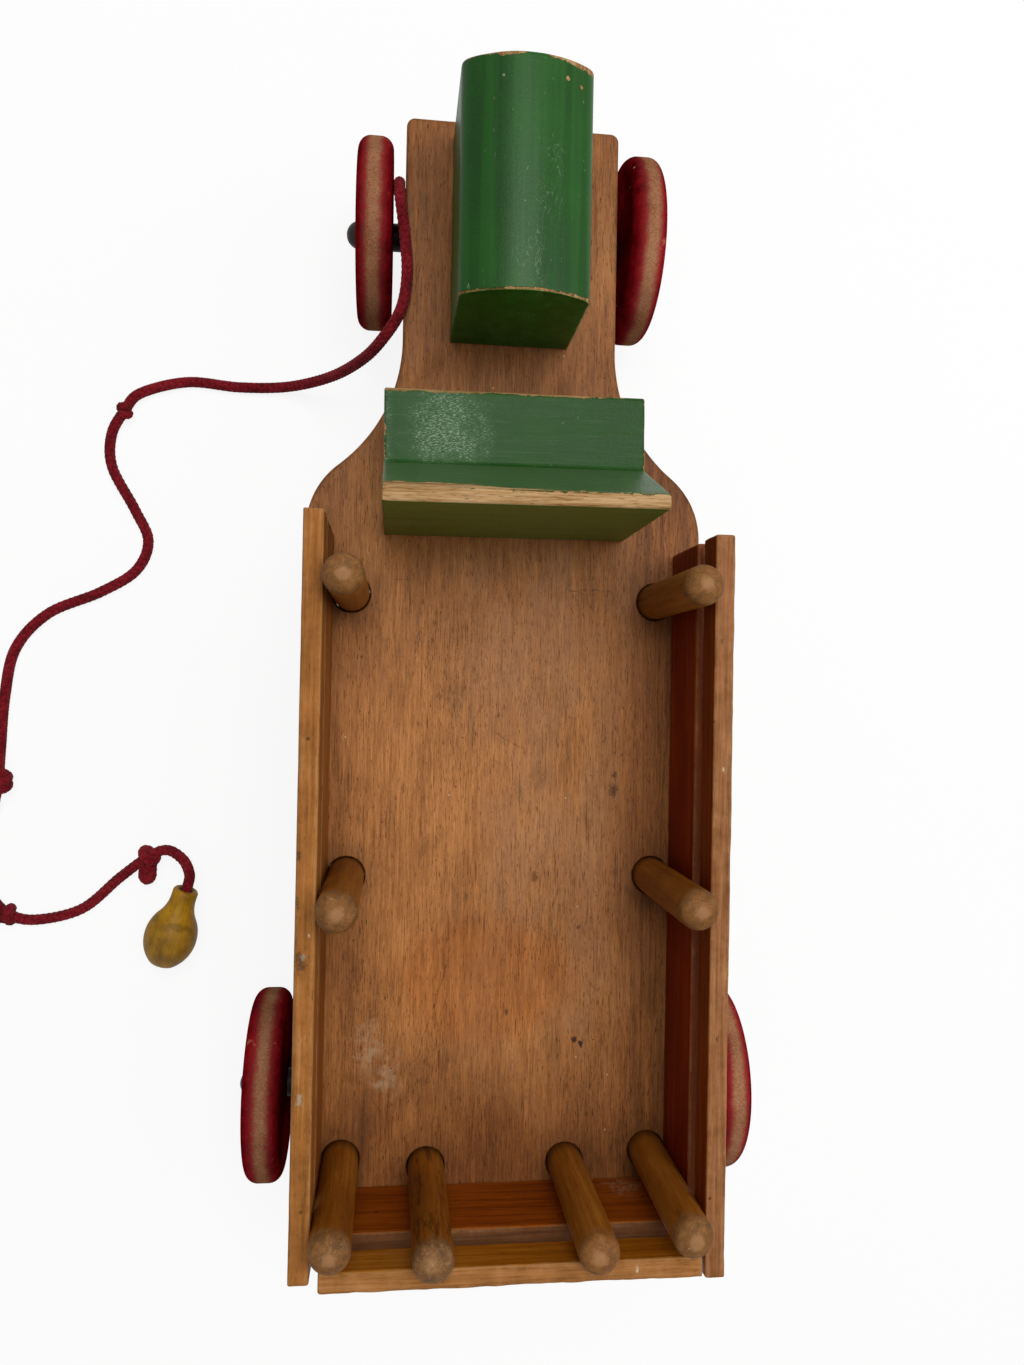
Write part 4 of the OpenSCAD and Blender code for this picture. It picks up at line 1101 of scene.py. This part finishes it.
def wheelFinish(name, seed, bandHalf, bandShift, s):
    start, place = startFinish(name)
    x, y, z = place.parts()
    grain = place.vector("ADD", (seed, 0, 0))
    reach = (x * x + y * y) ** 0.5
    cloud = grain.grainy(60, 3, 0.6)
    ragged = grain.grainy(330, 4, 0.7) - 0.5
    fleck = grain.grainy(1000, 3, 0.7) - 0.5
    shade = 0.5 + (cloud - 0.5) * 1.2 + ragged * 0.7 + fleck * 0.8
    tread = reach.step(s["radius"] - 0.0016, s["radius"] - 0.0007)
    middle = abs(z - s["thick"] / 2 - bandShift + (cloud - 0.5) * 0.002)
    band = (middle + ragged * 0.0022 + fleck * 0.0022).fall(bandHalf - 0.0014, bandHalf + 0.0014) * tread
    pores = grain.grainy((2600, 2600, 1300), 3, 0.7)
    wood = (pores * 0.7 + cloud * 0.4).ramp((0.35, 0.55, 0.75), ("673d28", "956548", "b48463"))
    worn = (1 - band) * (ragged + cloud * 0.5).step(0.42, 0.5) * reach.step(s["radius"] - 0.012, s["radius"])
    haze = (middle - bandHalf).fall(0.0, 0.004) * (1 - band) * tread
    hub = (reach + ragged * 0.003).fall(0.0052, 0.0075)
    nicks = grain.specks(140, 0.08, 0.2)
    colour = shade.ramp((0.15, 0.5, 0.88), s["paint"]).stained(
        (band.most(worn * 0.6), wood), (haze * 0.25, "a04846"),
        (hub * 0.6, "2b0b0c"), (nicks * 0.7, "c49a86"))
    lathe = start.make("ShaderNodeCombineXYZ", {}, {0: reach, 1: z, 2: 0.0}).grainy((2400, 900, 1), 2, 0.6)
    rough = band.between(0.55 + (cloud - 0.5) * 0.25, 0.75)
    relief = lathe * 0.35 + band * (pores - 0.8) * 0.4 - nicks * 0.4
    return closeFinish(start, colour, rough, relief, 0.00016, 0.0)


def wheelProfile(s):
    r, edge, thick, bore = s["radius"], s["edge"], s["thick"], s["bore"]
    lower = [(bore, 0.5 * mm), (bore + 0.4 * mm, 0), (bore + 1.2 * mm, 0)]
    lower += [(a, 0) for a in np.linspace(6 * mm, r - edge - 0.6 * mm, 9)]
    lower += [tuple(p) for p in arc((r - edge, edge), edge, -90, 0, 13)]
    upper = [(a, thick - h) for a, h in reversed(lower)]
    treadPoints = [(r, h) for h in np.linspace(edge, thick - edge, 6)[1:-1]]
    loop = [*lower, *treadPoints, *upper]
    return [*loop, loop[0]]


def makeWheels(s):
    seed = 0
    for axle in ("front", "rear"):
        for name, side in (("left", 1), ("right", -1)):
            seed += 1
            px, inner = s[axle]
            node = axle + "_" + name + "_wheel"
            paint = axle + name.capitalize() + "WheelPaint"
            finish = wheelFinish(paint, seed * 0.7, *s["bands"][seed - 1], s)
            piece = turnedPiece(axle + "_" + name + "Wheel", wheelProfile(s), s, seed * 2.3, 0.0, finish)
            py = side * inner + (s["rearShift"] if axle == "rear" else 0)
            turn = Matrix.Rotation(-side * math.pi / 2, 4, "X")
            piece.matrix_world = Matrix.Translation((px, py, s["axleZ"])) @ turn
            standsFor(piece, node, node)


makeWheels(wheels)
print("wheels turned")


# hardware

def steelFinish():
    start, place = startFinish("darkSteel")
    rust = place.grainy(520, 4, 0.7)
    fine = place.grainy(2600, 2, 0.6)
    tones = ("120f0d", "241f1a", "2f271f", "402613")
    colour = (rust + (fine - 0.5) * 0.4).ramp((0.3, 0.5, 0.62, 0.8), tones)
    rough = 0.5 + (rust - 0.5) * 0.5
    return closeFinish(start, colour, rough, rust + fine * 0.4, 0.00006, 0.25, Metallic=0.3)


def makeHardware():
    names = ["left_rack_brads", "right_rack_brads", "tailgate_brads", "hood_screws", "seat_screws",
             "axle_block_screws", "screw_eye"]
    for axle in ("front", "rear"):
        for side in ("left", "right"):
            names += [axle + "_" + side + "_" + part for part in ("axle_screw", "spacer")]
    useFinish(steelFinish(), names)


makeHardware()
print("hardware finished")


# floor and light

studio = {
    "floorHalf": 3.0,
    "whiteShare": 0.88,  # of the floor that the camera sees; the rest keeps the shadow
    "fade": (0.35, 1.3),  # it goes over to white with the distance
    "floorTones": ("c4c2be", "d2d0cc"),
    "seenTones": ("efefee", "f2f2f1"),
    "world": 0.15,
    "lamps": [  # place, size, watts
        ((0.45, -0.05, 1.40), 0.9, 13.5),
        ((0.20, -0.95, 1.10), 1.0, 7.5),
        ((-0.90, 0.15, 1.10), 2.5, 3.5),
    ],
}


def seenRays(start):  # 1 for what the camera sees, also in a reflection
    rays = ("Is Camera Ray", "Is Glossy Ray", "Is Transmission Ray")
    direct, glossy, clear = start.make("ShaderNodeLightPath", {}, {}, rays)
    return direct.most(glossy).most(clear)


def makeFloor(s):
    half = s["floorHalf"]
    start, place = startFinish("paleFloor")
    seen = seenRays(start)
    mottle = place.grainy(9, 3)
    pale = seen.blend(*(mottle.ramp((0.3, 0.7), s[tones]) for tones in ("floorTones", "seenTones")))
    paper = start.make("ShaderNodeBsdfDiffuse", {}, {"Color": pale})
    white = start.make("ShaderNodeEmission", {}, {"Color": (1, 1, 1, 1), "Strength": 1.0})
    share = place.away((0, 0, 0)).step(*s["fade"]).between(s["whiteShare"], 1.0)
    mixed = start.make("ShaderNodeMixShader", {}, {0: seen * share, 1: paper, 2: white})
    start.make("ShaderNodeOutputMaterial", {}, {"Surface": mixed})
    corners = [(-half, -half, 0), (half, -half, 0), (half, half, 0), (-half, half, 0)]
    floor = addPiece("studioFloor", corners, [[0, 1, 2, 3]], start.finish)


def makeLight(s):
    sky = bpy.data.worlds.new("studioSky")
    bpy.context.scene.world = sky
    sky.use_nodes = True
    sky.node_tree.nodes.clear()
    start = Socket(sky.node_tree)
    strength = seenRays(start).between(s["world"], 1.0)
    light = start.make("ShaderNodeBackground", {}, {"Color": (1, 1, 1, 1), "Strength": strength})
    start.make("ShaderNodeOutputWorld", {}, {"Surface": light})
    for k, (place, size, watts) in enumerate(s["lamps"]):
        lamp = bpy.data.lights.new("softLamp%d" % k, "AREA")
        lamp.shape, lamp.size, lamp.energy = "DISK", size, watts
        stand = bpy.data.objects.new("softLamp%d" % k, lamp)
        turn = Vector(place).to_track_quat("Z", "Y").to_matrix().to_4x4()
        stand.matrix_world = Matrix.Translation(place) @ turn
        bpy.context.scene.collection.objects.link(stand)


makeFloor(studio)
makeLight(studio)
bpy.context.scene.view_settings.view_transform = "Standard"
print("floor and light set")

bpy.context.view_layer.update()
